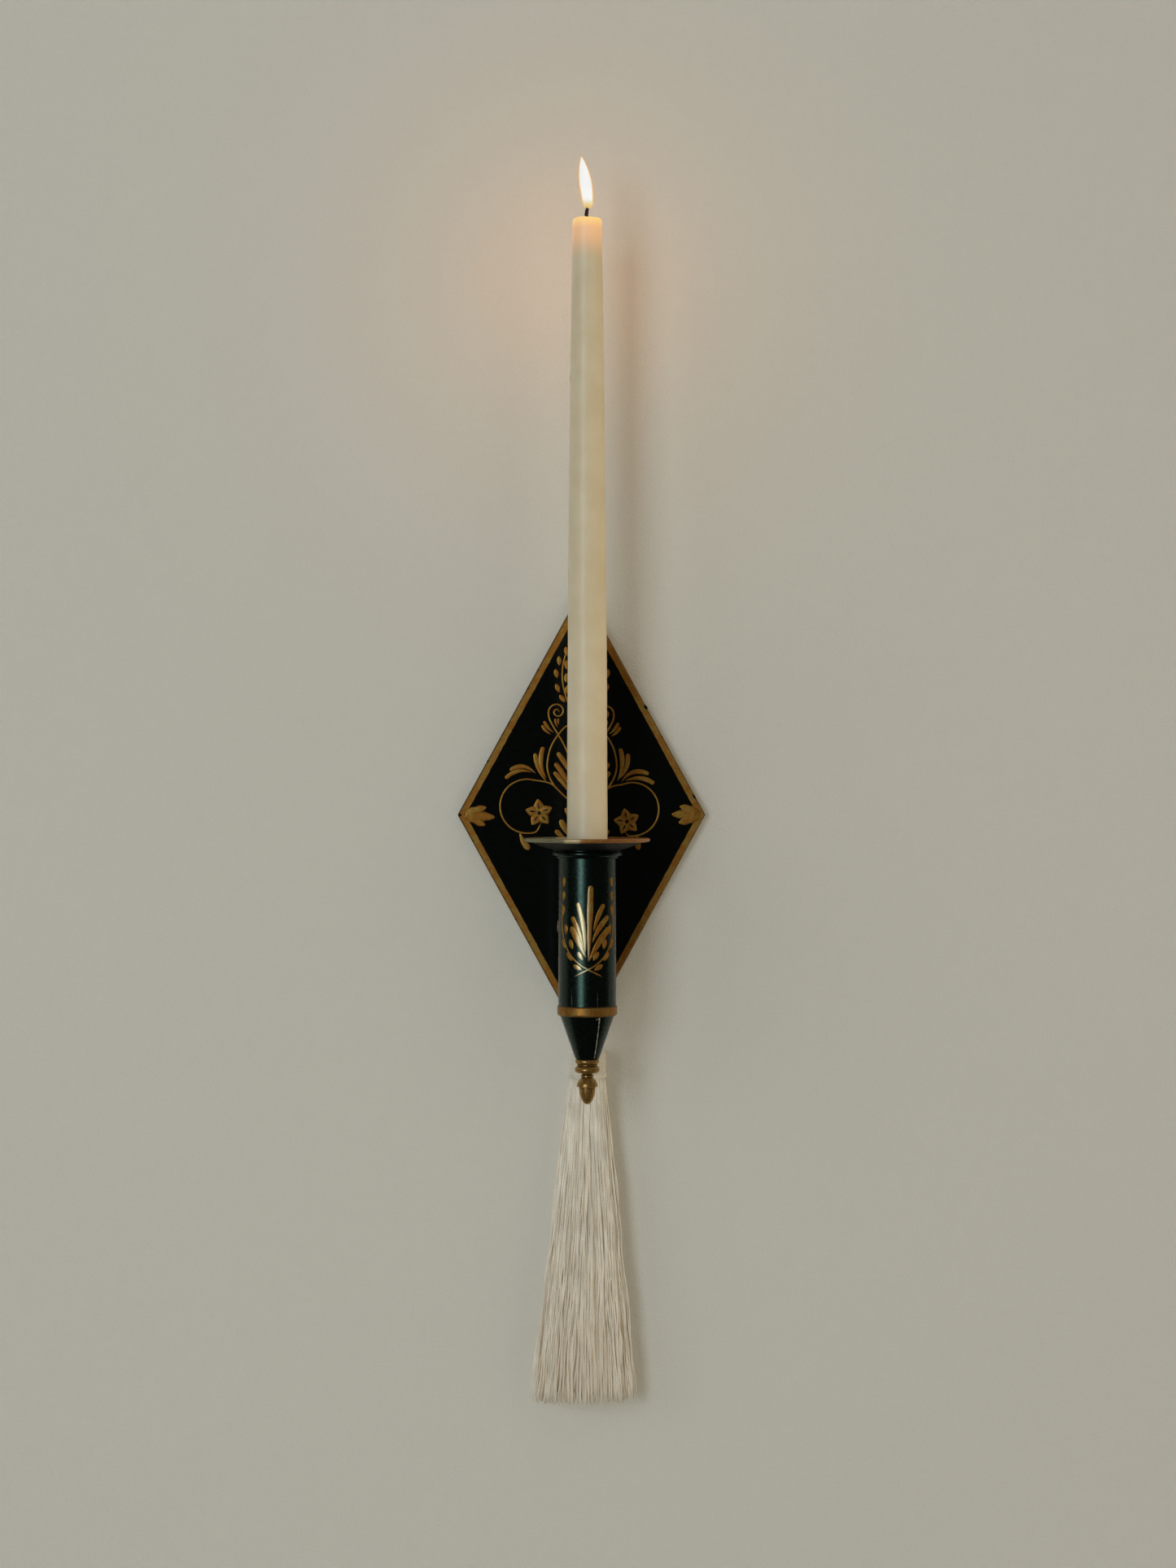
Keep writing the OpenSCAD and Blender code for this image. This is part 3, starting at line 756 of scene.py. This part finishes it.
def build_plate_ornament(gold, black):
    """All the plate's gold strokes, and over them the flowers' dark eyes and a few nicks."""
    brush = Brush(on_plate, 11)
    lines = Brush(on_plate, 12, lift=PAINT_RISE)
    plate_scrolls(brush)
    plate_leaves(brush)
    plate_arch(brush)
    plate_wheat(brush)
    plate_corner_leaves(brush)
    plate_lower_spray(brush)
    plate_flower(brush, lines, (-24.2, 1.1), 7.9, 95)
    plate_flower(brush, lines, (25.4, -3.8), 7.5, 101)
    nicks = (((35.2, 62.0), (36.9, 59.6), 1.7), ((62.6, 11.6), (64.4, 8.9), 1.0),
             ((-68.0, 0.0), (-69.6, 0.0), 1.6), ((-52.6, 31.0), (-53.6, 29.4), 0.8))
    for tip, foot, width in nicks:
        lines.leaf(tip, foot, width, profile=dot_width)
    brush.mesher.piece("plate_ornament", gold, "sconce", "gilt")
    lines.mesher.piece("flower_eyes", black, "sconce", "lacquer")


def build_tube_ornament(gold):
    """A fan of brush leaves over two crossed laurel sprays."""
    brush = Brush(on_tube, 21)
    fan = (
        ((1.9, -37.6), (0.7, -78.8), 3.4, 0.0),
        ((-5.4, -46.8), (-1.3, -75.4), 3.0, 0.09),
        ((-8.7, -54.5), (-1.8, -72.4), 3.0, 0.08),
        ((-9.1, -60.0), (-0.8, -76.6), 3.9, 0.02),
        ((9.7, -47.8), (3.6, -62.6), 2.8, -0.10),
        ((12.8, -54.4), (2.8, -68.6), 3.2, -0.14),
        ((13.3, -60.7), (1.2, -78.2), 3.8, -0.10),
    )
    for tip, foot, width, bend in fan:
        brush.leaf(tip, foot, width, bend)
    spine = ((-7.4, -87.2), (0.9, -83.1), (5.6, -80.2), (9.7, -76.6), (12.8, -72.6), (15.2, -68.0),
             (16.8, -63.6), (17.4, -58.5), (17.4, -53.0), (17.1, -47.0))
    leaves = ((5.8, -82.2, 30), (4.3, -76.0, 58), (10.8, -76.4, 50), (9.7, -69.6, 74), (15.3, -69.6, 64),
              (13.4, -61.6, 84), (15.6, -51.4, 96), (15.5, -43.6, 94), (15.2, -36.0, 94))
    for side in (-1, 1):
        path = smooth_path([(TUBE_SPRAY_X + side * (u - TUBE_SPRAY_X), v) for u, v in spine])
        brush.stroke(path, 0.85, line_width)
        for u, v, lean in leaves:
            place = (TUBE_SPRAY_X + side * u, v)
            brush.seed(place, lean if side > 0 else 180 - lean, 5.7, 2.7)
    brush.mesher.piece("tube_ornament", gold, "sconce", "gilt")


# ---- Candle, wick and flame ----

CANDLE_SIDES = 72
CANDLE_RINGS = 230
FLAME_FOOT = wick_high.z - 0.8
FLAME_TIP = 360.9
FLAME_X = 0.5
FLAME_LEAN = -3.6
# Share of the flame's height, and its radius there.
FLAME_OUTLINE = ((0.0, 0.5), (0.03, 1.7), (0.08, 2.3), (0.30, 3.0),
                 (0.52, 3.1), (0.75, 2.2), (0.89, 1.2), (1.0, 0.05))
# Runs of wax: height, angle, length, width and thickness.
WAX_RUNS = ((250.6, math.pi, 3.0, 1.3, 0.45), (238.6, math.pi * 1.02, 3.6, 1.6, 0.55),
            (290.0, 5.2, 9.0, 1.5, 0.5), (205.0, 2.4, 12.0, 1.4, 0.35))
# The melted hollow round the wick: share of the candle's radius, and drop from its top.
WAX_POOL = ((0.985, 0.9), (0.94, 0.25), (0.86, 0.0), (0.76, 0.35),
            (0.62, 1.3), (0.40, 1.9), (0.12, 2.1))


def candle_radius(z):
    """The taper's radius at a height, as in the CAD solid."""
    t = (z - candle_low.z) / (candle_high.z - candle_low.z)
    return CANDLE_R - CANDLE_DROP * max(t, 0.0) ** CANDLE_POWER


def drip(z, a, centre_z, centre_a, length, width, height):
    """Height of a run of wax, thickest near its rounded lower end."""
    dz = z - centre_z
    da = (a - centre_a + math.pi) % (2 * math.pi) - math.pi
    arc = da * candle_radius(z)
    tail = length if dz > 0 else length * 0.28
    return height * math.exp(-((dz / tail) ** 2) - (arc / width) ** 2)


def candle_skin(z, a):
    """Radius of the candle's surface with its small bumps and drips."""
    r = candle_radius(z)
    foot_fit = min(1.0, max(0.0, (z - pan_high.z) / 10))
    spot = Vector((math.cos(a) * 0.8, math.sin(a) * 0.8, z * 0.018))
    r += foot_fit * (0.16 * noise.noise(spot) + 0.07 * noise.noise(spot * 4.0))
    for run in WAX_RUNS:
        r += drip(z, a, *run)
    return r


def build_candle(material):
    """The taper, with bumps, runs of wax and a melted hollow at its top."""
    m = Mesher()
    rows = []
    top = candle_high.z
    shoulder = 2.0
    for i in range(CANDLE_RINGS + 1):
        z = candle_low.z + (top - shoulder - candle_low.z) * i / CANDLE_RINGS
        rows.append([(candle_skin(z, a) * math.cos(a), AXIS_Y + candle_skin(z, a) * math.sin(a), z)
                     for a in ring_angles(CANDLE_SIDES)])
    for share, drop in WAX_POOL:
        r = candle_radius(top) * share
        ring = []
        for a in ring_angles(CANDLE_SIDES):
            lip = 0.45 * noise.noise(Vector((math.cos(a) * 1.3, math.sin(a) * 1.3, 7.7)))
            z = top - drop + min(0.0, lip) * (share > 0.7)
            ring.append((r * math.cos(a), AXIS_Y + r * math.sin(a), z))
        rows.append(ring)
    m.grid(rows)
    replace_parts(m.piece("candle_wax", material, "taper", "wax"), "candle")


def build_wick(material):
    """A braided wick that leans a little as it chars."""
    m = Mesher()
    low, high = candle_high.z - 4.0, wick_high.z
    line = []
    for i in range(15):
        t = i / 14
        x = 0.5 * t**3 - 0.5 * math.sin(3.0 * t)
        line.append(Vector((x, AXIS_Y + 0.3 * t, low + (high - low) * t)))
    for k in range(3):
        path = []
        for i, p in enumerate(line):
            a = 2 * math.pi * (k / 3 + i / 7)
            path.append(p + Vector((0.45 * math.cos(a), 0.45 * math.sin(a), 0)))
        m.tube(path, lambda t: 0.72 * (1 - 0.35 * t**4), 8)
    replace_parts(m.piece("wick_braid", material, "taper", "wick"), "wick")


def flame_shell(name, material, grow, foot, tip):
    """A leaf-shaped flame, round in section, blunt below and leaning at its tip."""
    m = Mesher()
    rows = []
    for share, radius in smooth_path(FLAME_OUTLINE, 6):
        z = foot + (tip - foot) * share
        r = max(0.05, radius + grow * min(1.0, share * 20) * (1 - share**4))
        lean = max(0.0, (z - FLAME_FOOT) / (FLAME_TIP - FLAME_FOOT))
        x = FLAME_X + FLAME_LEAN * lean**1.3
        rows.append([(x + r * math.cos(a), AXIS_Y + r * math.sin(a), z) for a in ring_angles(28)])
    m.grid(rows)
    return m.piece(name, material, "taper", "wax")


def point_light(name, place, radius, energy, colour):
    """A round warm light that rides on the candle."""
    data = bpy.data.lights.new(name, "POINT")
    data.color = colour
    data.energy = energy
    data.shadow_soft_size = radius * MM
    light = bpy.data.objects.new(name, data)
    light.location = place
    bpy.context.scene.collection.objects.link(light)
    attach(light, "taper")
    return light


def build_flame():
    """The flame's shells, its own light and the wide soft glow round it, which is returned."""
    core = glow_material("flame_core", (0.76, 0.60, 0.03), (0.84, 1.26, 1.66), 1.0)
    edge = glow_material("flame_edge", (0.90, 0.60, 0.26), (1.00, 0.66, 0.20), 0.45)
    halo = glow_material("flame_halo", (0.78, 0.50, 0.34), (0.92, 0.46, 0.20), 0.15)
    flame_shell("flame_core", core, 0.0, FLAME_FOOT, FLAME_TIP)
    flame_shell("flame_edge", edge, 0.45, FLAME_FOOT - 0.5, FLAME_TIP + 0.5)
    flame_shell("flame_halo", halo, 1.5, FLAME_FOOT - 0.8, FLAME_TIP + 1.4)
    point_light("flame_light", mm(-1.0, AXIS_Y, FLAME_FOOT + 12), 7, 0.010, (1.0, 0.42, 0.14))
    glow = point_light("wall_glow", mm(-4.0, -80.0, FLAME_FOOT - 33), 45, 0.150, (1.0, 0.34, 0.01))
    return glow


# ---- Tassel ----

# Seeds the draws and noise_vector, which otherwise changes from run to run.
TASSEL_SEED = 5
THREADS = 720
THREAD_R = 0.38
THREAD_SIDES = 5
THREAD_STEPS = 26
# The core that fills the bundle, as a share of its half width, and its rings.
CORE_SHARE = 0.70
CORE_RINGS = 24
CORE_SIDES = 48
SKIRT_TOP = head_low.z + 0.6
SKIRT_TOP_HALF_W = 9.7
SKIRT_TOP_HALF_D = 9.2
SKIRT_FOOT_HALF_W = (skirt_high.x - skirt_low.x) / 2 - 0.6
SKIRT_FOOT_HALF_D = (skirt_high.y - skirt_low.y) / 2 - 0.8
SKIRT_FOOT_X = (skirt_low.x + skirt_high.x) / 2
SKIRT_FOOT_Y = (skirt_low.y + skirt_high.y) / 2
HEAD_STRANDS = 58
HEAD_SIDES = 40
CORD_HOLE_Z = -116.5


def thread_path(rng, share, angle):
    """One hanging thread: its place in the bundle, its spread, locks and slight waves."""
    top = Vector((HEAD_X + SKIRT_TOP_HALF_W * share * math.cos(angle),
                  HEAD_Y + SKIRT_TOP_HALF_D * share * math.sin(angle), SKIRT_TOP))
    spread = min(1.0, share * rng.uniform(0.90, 1.04))
    foot_angle = angle + rng.gauss(0, 0.20)
    foot = Vector((SKIRT_FOOT_X + SKIRT_FOOT_HALF_W * spread * math.cos(foot_angle),
                   SKIRT_FOOT_Y + SKIRT_FOOT_HALF_D * spread * math.sin(foot_angle),
                   skirt_low.z + 0.4 + abs(rng.gauss(0, 2.4))))
    own = rng.uniform(0, 50)
    bulge = rng.uniform(0.88, 1.04)
    path = []
    for i in range(THREAD_STEPS + 1):
        t = i / THREAD_STEPS
        p = top.lerp(foot, t)
        out = t**bulge - t
        p.x += (foot.x - top.x) * out
        p.y += (foot.y - top.y) * out
        lock = noise.noise_vector(Vector((p.x * 0.22, p.y * 0.22, p.z * 0.016)))
        wave = noise.noise_vector(Vector((own, 3.0, p.z * 0.045)))
        p.x += min(1.0, 1.6 * t) * (2.0 * t * lock.x + 1.9 * wave.x)
        p.y += min(1.0, 1.6 * t) * (1.2 * t * lock.y + 0.9 * wave.y)
        p.y = min(p.y, -(THREAD_R + 0.4))
        path.append(p)
    return path


def core_uvs(rings, sides):
    """Texture places that let a core carry the threads' twist."""
    return [[(j / sides, i / 4) for j in range(sides)] for i in range(rings)]


def build_skirt(material):
    """Loose threads, packed evenly over the bundle's section, and a core inside them."""
    m = Mesher()
    rng = random.Random(TASSEL_SEED)
    noise.seed_set(TASSEL_SEED)
    golden = math.pi * (3 - math.sqrt(5))
    for k in range(THREADS):
        path = thread_path(rng, math.sqrt((k + 0.5) / THREADS), k * golden)
        m.tube(path, THREAD_R * rng.uniform(0.85, 1.15), THREAD_SIDES, 2.0)
    core = []
    for i in range(CORE_RINGS + 1):
        t = 0.96 - 0.94 * i / CORE_RINGS
        half_w = CORE_SHARE * (SKIRT_TOP_HALF_W + (SKIRT_FOOT_HALF_W - SKIRT_TOP_HALF_W) * t)
        half_d = CORE_SHARE * (SKIRT_TOP_HALF_D + (SKIRT_FOOT_HALF_D - SKIRT_TOP_HALF_D) * t)
        x = HEAD_X + (SKIRT_FOOT_X - HEAD_X) * t
        y = HEAD_Y + (SKIRT_FOOT_Y - HEAD_Y) * t
        z = SKIRT_TOP + (skirt_low.z - SKIRT_TOP) * t
        core.append([(x + half_w * math.cos(a), y + half_d * math.sin(a), z)
                     for a in ring_angles(CORE_SIDES)])
    m.grid(core, uvs=core_uvs(len(core), CORE_SIDES))
    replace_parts(m.piece("tassel_threads", material, "tassel", "tassel_thread"), "tassel_skirt")


def build_head(material):
    """Threads laid side by side over the rounded head."""
    m = Mesher()
    profile = [(0.8, head_high.z - 0.1), (4.0, head_high.z - 0.15), (7.4, head_high.z - 0.6),
               (9.4, head_high.z - 1.9), (10.1, head_high.z - 4.0), (10.15, head_high.z - 8.0),
               (10.1, head_high.z - 12.0), (10.05, head_low.z + 0.2)]
    line = smooth_path(profile, 3)
    centre = Vector((HEAD_X, HEAD_Y, 0))
    for a in ring_angles(HEAD_STRANDS):
        radial = Vector((math.cos(a), math.sin(a), 0))
        path = [centre + radial * (p.x - 0.2) + Vector((0, 0, p.y)) for p in line]
        m.tube(path, lambda t: 0.22 + 0.38 * min(1.0, t * 3.2), 6, 2.4)
    core = [[(HEAD_X + (p.x - 0.3) * math.cos(a), HEAD_Y + (p.x - 0.3) * math.sin(a), p.y - 0.1)
             for a in ring_angles(HEAD_SIDES)] for p in reversed(line)]
    m.grid(core, uvs=core_uvs(len(core), HEAD_SIDES))
    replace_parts(m.piece("tassel_head_wrap", material, "tassel", "tassel_thread"), "tassel_head")


def build_binding(material):
    """Thread wound four times round the head's foot."""
    m = Mesher()
    turns, steps = 4, 60
    path = []
    for i in range(turns * steps + 1):
        a = 2 * math.pi * i / steps
        z = head_low.z + 0.45 + 1.9 * i / (turns * steps)
        path.append(Vector((HEAD_X + 10.75 * math.cos(a), HEAD_Y + 10.3 * math.sin(a), z)))
    m.tube(path, 0.34, 6, 2.0)
    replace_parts(m.piece("binding_thread", material, "tassel", "tassel_thread"), "neck_binding")


def build_cord(material):
    """Two-ply cord from a knot behind the plate to the tassel's head."""
    m = Mesher()
    hole_z = CORD_HOLE_Z
    knot = Vector((0, -3.5, hole_z))
    bend_y = -(PLATE_FRONT + 1.7)
    pivot = Vector((HEAD_X, HEAD_Y, head_high.z + 1.9))
    route = smooth_path([knot, (0, -6.0, hole_z), (0, bend_y + 0.25, hole_z - 0.15),
                         (0.25, bend_y - 0.3, hole_z - 1.3), (1.2, -10.1, hole_z - 6.5), pivot], 8)
    for k in range(2):
        path = []
        for i, p in enumerate(route):
            a = math.pi * k + i * 0.42
            path.append(p + Vector((0.55 * math.cos(a), 0.35 * math.sin(a), 0.35 * math.sin(a))))
        m.tube(path, 0.58, 8, 1.6)
    for centre, size in ((knot, 1.7), (pivot, 1.15)):
        loop = []
        for i in range(57):
            a = 2 * math.pi * i / 28
            b = math.pi * i / 28
            ring = Vector((math.cos(a), math.sin(a) * math.cos(b), math.sin(a) * math.sin(b)))
            loop.append(centre + ring * (size - 0.62))
        m.tube(loop, 0.6, 8, 1.6)
    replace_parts(m.piece("hanging_cord", material, "cord", "tassel_thread"), "tassel_cord")


# ---- Seam of the rolled cone ----

# Angles in degrees round the tube, and the pale lines' heights.
SEAM_ANGLE = 23
PALE_LINES = ((17, 10.0), (-36, 11.0))


def round_axis(radius, angle, z):
    """A point about the tube's axis; angle 0 faces straight out from the wall."""
    a = math.radians(angle)
    return Vector((radius * math.sin(a), AXIS_Y - radius * math.cos(a), z))


def build_seam(gold):
    """The cone sheet's lap, with a painted highlight along it and at its top, and two thin pale lines
    above the band.
    """
    m = Mesher()
    cone_top, cone_foot = band_low.z - 0.2, cone_low.z + 0.4
    path = []
    for i in range(13):
        t = i / 12
        radius = CONE_TOP_R + (CONE_FOOT_R - CONE_TOP_R) * t
        path.append(round_axis(radius, SEAM_ANGLE + 8 * t, cone_top + (cone_foot - cone_top) * t))
    m.tube(path, lambda t: 0.28 + 0.16 * max(0.0, 1 - 8 * t))
    hook = [round_axis(CONE_TOP_R - 0.2, angle, cone_top - 0.5 - 0.06 * (SEAM_ANGLE - angle))
            for angle in range(SEAM_ANGLE - 8, SEAM_ANGLE + 1, 2)]
    m.tube(hook, 0.16)
    for angle, height in PALE_LINES:
        line = [round_axis(TUBE_R - 0.03, angle, band_high.z + 0.2 + height * k / 6) for k in range(7)]
        m.tube(line, lambda t: 0.075 * (1 - 0.6 * t))
    m.piece("seam_edge", gold, "sconce", "gilt")


# ---- Stage, lights and camera ----

WALL_COLOUR = (0.538, 0.525, 0.476)
STAGE_HALF_W = 4.0
WALL_TOP = 3.0
FLOOR_Z = -0.95
FLOOR_FRONT = -5.0
FLOOR_BACK = 4.0


def one_sided(shader):
    """Shows only the side that the sconce is on, so it can be seen from behind."""
    behind = shader.node("NewGeometry").outputs["Backfacing"]
    clear = shader.node("BsdfTransparent")
    mix = shader.node("MixShader", [(0, behind), (1, shader.bsdf.outputs[0]), (2, clear.outputs[0])])
    shader.tree.links.new(mix.outputs[0], shader.output.inputs["Surface"])
    return shader.material


def plane(name, corners, material):
    """A flat piece of the stage from its four corners, in metres."""
    mesh = bpy.data.meshes.new(name)
    mesh.from_pydata(corners, [], [(0, 1, 2, 3)])
    mesh.materials.append(material)
    made = bpy.data.objects.new(name, mesh)
    bpy.context.scene.collection.objects.link(made)
    return made


def build_stage():
    """A plain pale wall behind the sconce and a pale floor below; returns both."""
    wall_paint = Shader("wall_paint")
    tone = wall_paint.noise(0.004, 3.0, 0.5)
    darker = tuple(c * 0.96 for c in WALL_COLOUR)
    plaster = wall_paint.ramp(wall_paint.noise(0.9, 4.0, 0.75), 0.35, 0.65, 0.0, 0.6)
    tint = tuple(c * 0.93 for c in WALL_COLOUR)
    clouded = wall_paint.blend(tone, darker, WALL_COLOUR)
    wall_paint.feed("Base Color", wall_paint.blend(plaster, clouded, tint))
    wall_paint.set(Roughness=0.9, Specular_IOR_Level=0.1)
    wall_paint.bump(wall_paint.noise(0.6, 6.0, 0.75), 0.9, 0.8)
    floor_paint = Shader("floor_paint")
    cloud = floor_paint.ramp(floor_paint.noise(0.02, 4.0, 0.6), 0.3, 0.7)
    pale = floor_paint.blend(cloud, (0.585, 0.570, 0.515), (0.610, 0.595, 0.540))
    floor_paint.feed("Base Color", pale)
    floor_paint.set(Roughness=0.9)
    left, right = -STAGE_HALF_W, STAGE_HALF_W
    wall_corners = [(left, 0.0, FLOOR_Z), (right, 0.0, FLOOR_Z),
                    (right, 0.0, WALL_TOP), (left, 0.0, WALL_TOP)]
    wall = plane("backdrop_wall", wall_corners, one_sided(wall_paint))
    floor_corners = [(left, FLOOR_FRONT, FLOOR_Z), (right, FLOOR_FRONT, FLOOR_Z),
                     (right, FLOOR_BACK, FLOOR_Z), (left, FLOOR_BACK, FLOOR_Z)]
    floor = plane("floor", floor_corners, one_sided(floor_paint))
    wall.visible_shadow = False
    floor.visible_glossy = False
    return wall, floor


def area_light(name, azimuth, elevation, distance, size, energy, colour, mirrored=False):
    """A panel of light aimed at the sconce; azimuth 0 is the camera's side.

    Only a mirrored one shows in gloss.
    """
    data = bpy.data.lights.new(name, "AREA")
    data.shape = "RECTANGLE"
    data.size, data.size_y = size
    data.energy = energy
    data.color = colour
    light = bpy.data.objects.new(name, data)
    a, e = math.radians(azimuth), math.radians(elevation)
    away = Vector((math.sin(a) * math.cos(e), -math.cos(a) * math.cos(e), math.sin(e)))
    light.location = away * distance
    light.rotation_euler = (-away).to_track_quat("-Z", "Y").to_euler()
    light.visible_camera = False
    light.visible_glossy = mirrored
    bpy.context.scene.collection.objects.link(light)
    return light


def link_lights(wall, floor, glow, fill):
    """Lets the glow fall on the wall only, and keeps the right fill free of shadows."""
    only_wall = bpy.data.collections.new("only_wall")
    only_wall.objects.link(wall)
    glow.light_linking.receiver_collection = only_wall
    only_floor = bpy.data.collections.new("only_floor")
    only_floor.objects.link(floor)
    for light in (glow, fill):
        light.light_linking.blocker_collection = only_floor


def build_lights():
    """A window on the left, wide fills and a lamp for views from behind; returns the right fill."""
    cool, warm, sky_blue = (0.94, 0.94, 0.94), (1.0, 0.88, 0.68), (0.80, 0.92, 1.0)
    area_light("window", -29, 6, 4.0, (1.2, 2.2), 60, sky_blue, mirrored=True)
    area_light("left_fill", -62, 14, 8.0, (4.0, 5.0), 140, cool)
    fill = area_light("right_fill", 58, 10, 6.0, (6.0, 5.0), 250, warm)
    area_light("top_fill", 5, 55, 5.0, (5.0, 3.0), 28, cool)
    area_light("back_fill", 195, 25, 2.2, (1.8, 1.4), 30, (1.0, 0.98, 0.95), mirrored=True)
    world = bpy.data.worlds.new("studio")
    world.use_nodes = True
    sky = world.node_tree.nodes["Background"]
    sky.inputs["Color"].default_value = (0.93, 0.92, 0.88, 1.0)
    sky.inputs["Strength"].default_value = 0.035
    bpy.context.scene.world = world
    return fill


def build_camera():
    """The camera: 1.5 m off, level with the plate, a little to the left."""
    data = bpy.data.cameras.new("camera")
    data.sensor_width = 36.0
    data.lens = 61.2
    camera = bpy.data.objects.new("camera", data)
    camera.location = mm(-100, -1507, 17.4)
    aim = mm(3.4, -PLATE_FRONT, 17.4)
    camera.rotation_euler = (aim - camera.location).to_track_quat("-Z", "Y").to_euler()
    bpy.context.scene.collection.objects.link(camera)
    bpy.context.scene.camera = camera
    bpy.context.scene.view_settings.view_transform = "Standard"


# ---- Putting it together ----


def dress(names, material):
    """Gives CAD nodes a finished material."""
    for name in names:
        slots = nodes[name].data.materials
        slots.clear()
        slots.append(material)


build_camera()
lacquer = lacquer_material()
strokes = stroke_material()
thread = thread_material()
steel = steel_material()
brass = brass_material("aged_brass", (0.240, 0.118, 0.026), (0.420, 0.250, 0.070))
blackened = brass_material("blackened_brass", (0.030, 0.020, 0.008), (0.075, 0.050, 0.020))
pan = pan_material()
dress(["backplate"], plate_material())
dress(["sconce_tube", "collar_ring", "tail_cone", "arm_sleeve", "arm_saddle"], lacquer)
dress(["rosette"], blackened)
dress(["gold_band"], band_material())
dress(["bead_collar", "acorn_finial"], brass)
dress(["drip_pan", "candle_cup", "cup_floor", "spigot_ring"], pan)
dress(["arm_stud", "back_washer", "back_nut", "inner_washer", "inner_nut",
       "bridge_disc", "tie_rod", "tie_nut", "rim_wire"], steel)
build_plate_ornament(strokes, lacquer)
build_tube_ornament(strokes)
build_seam(seam_material())
build_candle(wax_material())
build_wick(wick_material())
glow = build_flame()
build_skirt(thread)
build_head(thread)
build_binding(thread)
build_cord(thread)
wall, floor = build_stage()
link_lights(wall, floor, glow, build_lights())
